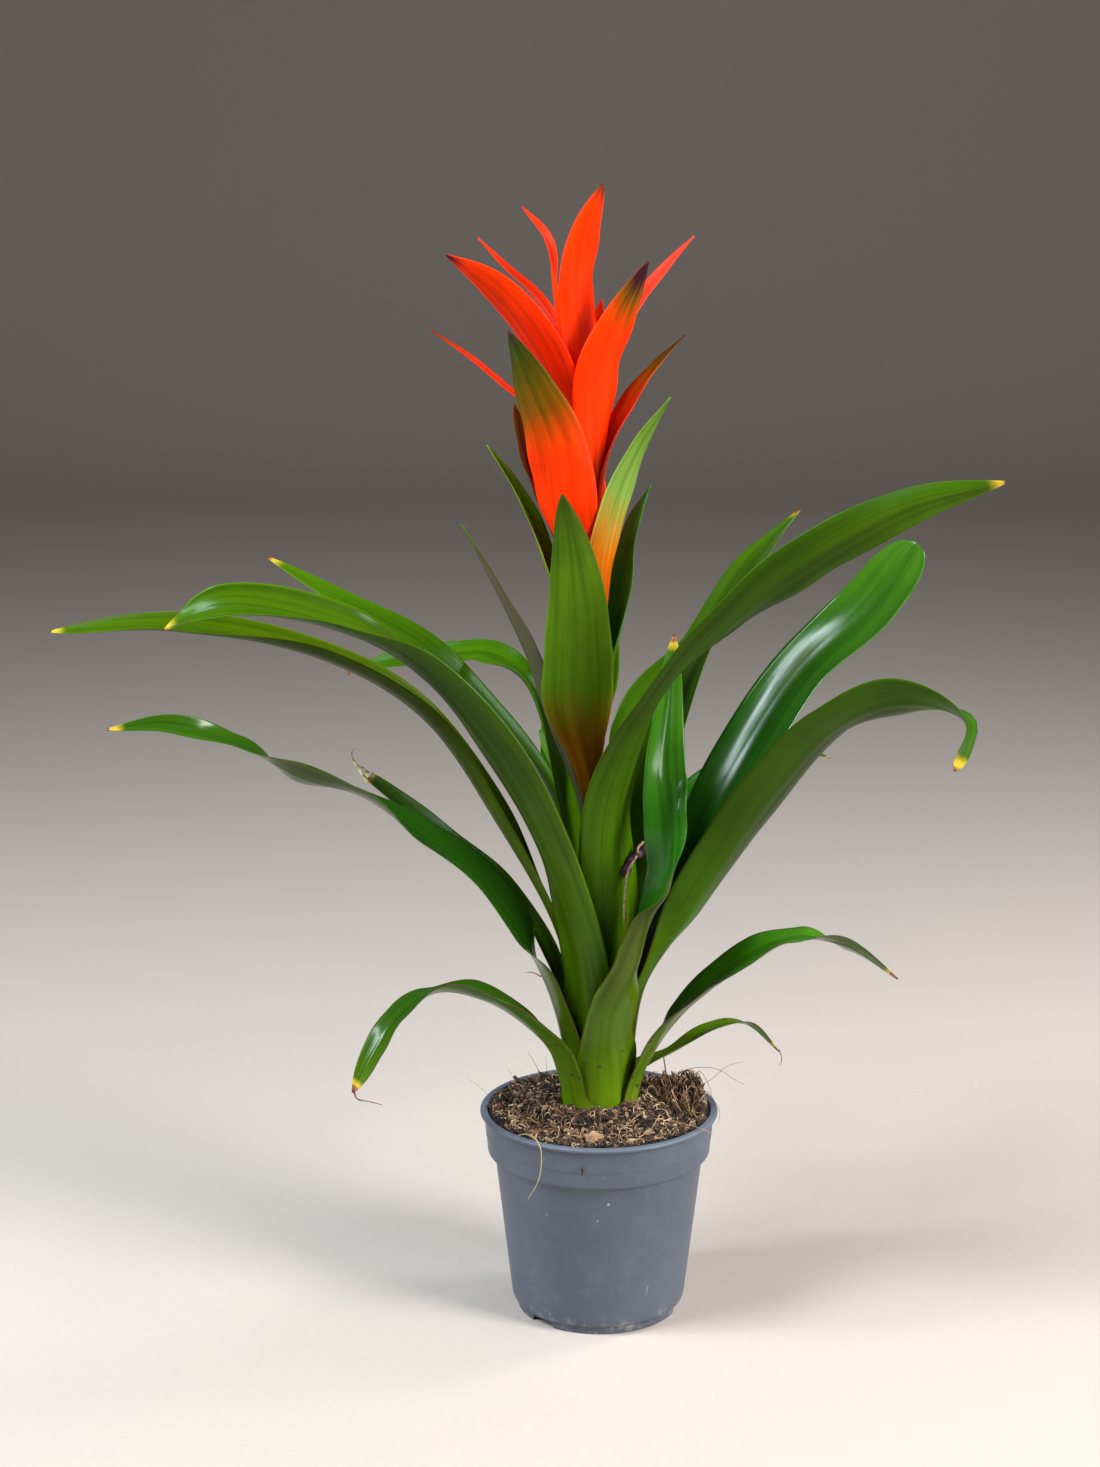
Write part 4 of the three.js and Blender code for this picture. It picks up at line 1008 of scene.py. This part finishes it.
def make_lumps():
    """A chunk of pale bark at the front and white grains of perlite"""
    heap = Heap()
    heap.add(*lump((-3.5, -41, 104), (5.2, 3.6, 3.0), 1.0, 0.2), 0.0)
    heap.add(*lump((16, -43, 102.5), (3.4, 2.6, 1.8), 4.0, 1.9), 0.2)
    rng = np.random.default_rng(5)
    grains = [(-31, 6)] + [soil_spot(rng, 24) for _ in range(GRAIN_COUNT)]
    for i, (x, y) in enumerate(grains):
        size = 1.3 if i == 0 else 0.5 + 0.4 * rng.random()
        heap.add(*lump((x, y, soil_height(x, y) + 0.9), (size, size * 0.9, size * 0.8), 3.0 + i, i), 1.0)
    sh = Shader("bark_and_perlite")
    grain = sh.noise(sh.place(), 650.0, 5.0, 0.65)
    bark = sh.ramp(grain, [
        (0.3, (0.18, 0.085, 0.04)), (0.6, (0.48, 0.29, 0.16)), (0.8, (0.62, 0.44, 0.28)),
    ])
    colour = sh.mix(sh.value("tint"), bark, (0.72, 0.7, 0.64))
    lumps = heap.build("soil_lumps", True)
    dress(lumps, sh.finish(colour, 0.85, sh.bump(grain, 0.7, 0.0006)))


def fibre_path(rng, x, y, length, rise, reach):
    """A curly fibre that starts on the soil, lifts off it by rise and stays within reach of the middle"""
    heading, curl = 2 * pi * rng.random(), rng.normal() * 0.75
    steps = 8
    path = []
    for t in np.linspace(0, 1, steps):
        if hypot(x, y) > reach:
            break
        path.append((x, y, soil_height(x, y) + 0.4 + rise * sin(pi * t) ** 1.5))
        x += cos(heading) * length / steps
        y += sin(heading) * length / steps
        heading += curl * (0.4 + rng.random())
    return path


def make_fibres():
    """Curly coir fibres strewn thickly over the soil, and heaped up in the right rear clump"""
    rng = np.random.default_rng(7)
    heap = Heap()
    for i in range(FIBRE_COUNT):
        x, y = soil_spot(rng)
        rise = 0.6 + 1.6 * rng.random()
        length = 3 + 13 * rng.random() ** 1.6
        if i % CLUMP_EVERY == 0:
            x, y = rng.normal(FIBRE_CLUMP, (6, 7))
            rise = 3 + 7 * rng.random()
            length += 4
        path = fibre_path(rng, x, y, length, rise, SOIL_RADIUS - 0.8)
        if len(path) > 3:
            heap.add(*tube(path, 0.13 + 0.3 * rng.random() ** 2, 3), rng.random())
    shades = [
        (0.0, (0.016, 0.008, 0.006)), (0.35, (0.05, 0.024, 0.014)), (0.6, (0.26, 0.138, 0.076)),
        (0.85, (0.54, 0.34, 0.185)), (1.0, (0.76, 0.6, 0.38)),
    ]
    material = litter_material(
        "coir_fibre", shades, (800.0, 2.0), (0.55, 0.8), (0.07, 0.036, 0.02), 0.75, (0.4, 0.0002),
        plain=True)
    dress(heap.build("soil_fibres", True), material)


# Loose roots and hairs that stand out of the soil or hang over the rim: radius, tint and points
HAIRS = [
    (0.32, 0.95, [
        (-41, -38, 104), (-36, -44, 107.2), (-31.5, -50, 106.8), (-29.3, -53.4, 103.5), (-29, -54, 95),
        (-30.5, -53.5, 86.5), (-35.5, -51.5, 76.5)]),
    (0.18, 0.1, [
        (38, 14, 108), (41, 12, 118), (45, 8, 122), (51, 4, 124.5), (57, 2, 125), (63, 0, 123.5),
        (67, -2, 121), (73, -3, 118)]),
    (0.13, 0.4, [(50, 8, 106), (51.5, 6, 113), (58, 4, 119), (65, 2, 126), (73, 0, 129)]),
    (0.35, 0.2, [
        (33, 24, 127), (34, 23, 120.5), (35, 20, 114.5), (37, 12, 111), (38, 2, 107.5), (38, -6, 103.5)]),
    (0.34, 0.9, [(46, 14, 109), (46, 13, 115), (43.5, 10, 114), (44, 2, 109), (46.5, -11, 103.5)]),
    (0.34, 0.85, [(49, 8, 111), (49, 2, 107.5), (49, -5, 103.5)]),
    (0.3, 0.9, [(35, -4, 107.5), (31, -14, 107), (27, -26, 105.5), (25, -30, 103.5)]),
    (0.38, 0.9, [(-17, -38, 104.5), (-10, -41, 104.8), (-2.5, -46, 103.2)]),
    (0.38, 0.95, [(7, -46.5, 103.2), (11.5, -45.5, 103.8), (16, -45, 103.2)]),
    (0.34, 0.78, [(36, -18, 104.5), (44, -27, 105.5), (50, -34, 106.3), (55.5, -37, 104.5)]),
    (0.17, 0.3, [(-30, 29, 106), (-30, 30, 111.5), (-33, 32, 117.5), (-36, 34, 122)]),
    (0.12, 0.3, [(-26, 32, 106), (-26.5, 34, 114.5), (-27, 36, 119)]),
    (0.14, 0.6, [(-38, 6, 104), (-41, 10, 112.5), (-44, 14, 116.5), (-46.5, 16, 120)]),
    (0.13, 0.6, [(-50, -8, 103), (-57, -6, 114.5), (-62, -4, 118.5), (-66, -4, 121.5)]),
    (0.16, 0.25, [(50, 6, 106), (54, 4, 112), (58.5, -2, 108.5), (60.8, -6, 104.5), (60.3, -8, 100)]),
    (0.16, 0.15, [(46, 10, 108), (49, 14, 117), (52, 10, 120), (56, 4, 114), (58, -4, 107)]),
    (0.8, 0.05, [(-9.1, -57.9, 94.8), (-8.9, -57.8, 93.2), (-9.2, -57.7, 91.2)]),
]

# Dried bits on the plant, each a small piece of its own: radius at both ends, tint and points
THREADS = [
    ("dried_remnant", 0.6, 0.7, 0.75, [
        (21, -20, 249), (18.2, -21, 246.5), (17.7, -22, 242.8), (15.2, -23, 239), (13.3, -24, 235.6),
        (12.3, -25, 231.4), (11.8, -26.5, 225.1), (11.6, -27.5, 218.6), (11.7, -28.5, 210.2)]),
    ("shrivelled_bract", 2.2, 2.6, 0.0, [
        (23, -18.5, 246), (19.2, -19.5, 243.5), (15.3, -20.5, 241), (12.9, -21, 237), (11.5, -21.5, 233)]),
    ("dried_tendril_left", 0.3, 0.15, 0.6, [(-29, -19, 180), (-33, -20.5, 182.5), (-37, -22, 183)]),
    ("torn_end", 2.7, 0.4, 1.0, [
        (-113.5, 14, 272), (-117, 15.5, 275), (-120.8, 17, 278.7), (-123, 17.5, 281.1)]),
    ("dried_tip_left_broken", 0.4, 0.2, 0.8, [
        (-122.5, 17.3, 280.5), (-123.3, 17.5, 283), (-123.2, 17.5, 285.6), (-121.5, 17.5, 287)]),
    ("dried_tip_low_left", 0.4, 0.2, 0.5, [
        (-119.5, -58, 136), (-118, -58, 131), (-112, -57, 129), (-106, -56, 127)]),
    ("dried_tip_low_small", 0.25, 0.12, 0.5, [(94, 38, 122), (95.5, 38, 117), (94.5, 38, 113)]),
]


def make_hairs():
    heap = Heap()
    for radius, tint, points in HAIRS:
        path = smooth_path(points, 24)[0]
        heap.add(*tube(path, radius * np.linspace(1, 0.5, 25), 6), tint)
    shades = [
        (0.0, (0.03, 0.014, 0.009)), (0.5, (0.14, 0.06, 0.028)), (0.75, (0.38, 0.16, 0.12)),
        (0.85, (0.45, 0.3, 0.13)), (1.0, (0.56, 0.47, 0.23)),
    ]
    material = litter_material(
        "root_hair", shades, (500.0,), (0.5, 0.8), (0.5, 0.45, 0.4), 0.7, (0.4, 0.0002))
    dress(heap.build("soil_root_hairs", True), material)


def make_threads():
    shades = [
        (0.0, (0.052, 0.012, 0.04)), (0.5, (0.23, 0.08, 0.045)), (0.8, (0.52, 0.36, 0.18)),
        (1.0, (0.7, 0.62, 0.36)),
    ]
    material = litter_material(
        "dried_leaf", shades, (420.0, 4.0), (0.4, 0.7), (0.35, 0.28, 0.32), 0.6, (0.8, 0.0006))
    for name, start, end, tint, points in THREADS:
        path, places = smooth_path(points, 30)
        swell = 1 + 0.3 * np.sin(places * 4.1) * np.sin(places * 2.3 + 1)
        heap = Heap()
        heap.add(*tube(path, swell * np.linspace(start, end, 31), 8), tint)
        dress(heap.build(name, True), material)


def make_stem():
    path = smooth_path([(x, 0, z) for z, x, radius in STEM], 60)[0]
    radii = stem_at(path[:, 2])[1]
    stem = add_mesh("stem_stalk", *tube(path, radii, 20))
    sh = Shader("stem_skin")
    streak = sh.noise(sh.stretched((1.0, 1.0, 0.06)), 500.0, 4.0)
    colour = sh.ramp(streak, [(0.3, (0.1, 0.16, 0.03)), (0.6, (0.2, 0.27, 0.05)), (0.8, (0.3, 0.2, 0.05))])
    dress(stem, sh.finish(colour, 0.5, sh.bump(streak, 0.4, 0.0004)), "stem")


def make_stage():
    """A wide pale floor that curves up into a far backdrop"""
    profile = [(-FLOOR_REACH, 0), (BACKDROP_START, 0)]
    for k in range(1, 13):
        angle = pi / 2 * k / 12
        bend, rise = BACKDROP_CURVE * sin(angle), BACKDROP_CURVE - BACKDROP_CURVE * cos(angle)
        profile.append((BACKDROP_START + bend, rise))
    profile.append((BACKDROP_START + BACKDROP_CURVE, FLOOR_REACH / 2))
    points = [(x, y, z) for x in (-FLOOR_REACH, FLOOR_REACH) for y, z in profile]
    count = len(profile)
    faces = [(i, i + count, i + count + 1, i + 1) for i in range(count - 1)]
    floor = add_mesh("floor", points, faces)
    sh = Shader("paper_floor")
    grain = sh.noise(sh.place(), 240.0, 3.0)
    colour = sh.mix(grain, (0.52, 0.455, 0.415), (0.57, 0.5, 0.455))
    floor.data.materials.append(sh.finish(colour, 0.75, sh.bump(grain, 0.05, 0.0005)))


def add_light(name, place, size, power, colour):
    data = bpy.data.lights.new(name, "AREA")
    data.shape = "RECTANGLE"
    data.size, data.size_y = size
    data.energy = power
    data.color = colour
    light = bpy.data.objects.new(name, data)
    light.location = Vector(place) * MM
    light.rotation_euler = (Vector(AIM) - Vector(place)).to_track_quat("-Z", "Y").to_euler()
    bpy.context.scene.collection.objects.link(light)


def make_camera_and_lights():
    data = bpy.data.cameras.new("camera")
    data.sensor_width = SENSOR
    data.lens = FOCAL_PIXELS / PHOTO_HEIGHT * SENSOR
    data.clip_start, data.clip_end = 0.05, 20
    camera = bpy.data.objects.new("camera", data)
    camera.location = Vector(CAMERA_PLACE) * MM
    camera.rotation_euler = (radians(90 - CAMERA_PITCH), 0, 0)
    bpy.context.scene.collection.objects.link(camera)
    bpy.context.scene.camera = camera
    for light in LIGHTS:
        add_light(*light)
    world = bpy.data.worlds.new("studio")
    world.use_nodes = True
    background = world.node_tree.nodes["Background"]
    background.inputs["Color"].default_value = WORLD_COLOUR
    background.inputs["Strength"].default_value = WORLD_STRENGTH
    bpy.context.scene.world = world


make_pot()
make_soil()
make_crumbs()
make_chips()
make_lumps()
make_fibres()
make_hairs()
make_stem()
for number, row in enumerate(LEAVES):
    make_leaf(Leaf(*row), number)
for number, row in enumerate(BRACTS, 1):
    make_bract(Bract(*row), number)
make_threads()
make_stage()
make_camera_and_lights()

bpy.context.scene.view_settings.view_transform = "Standard"
bpy.context.view_layer.update()
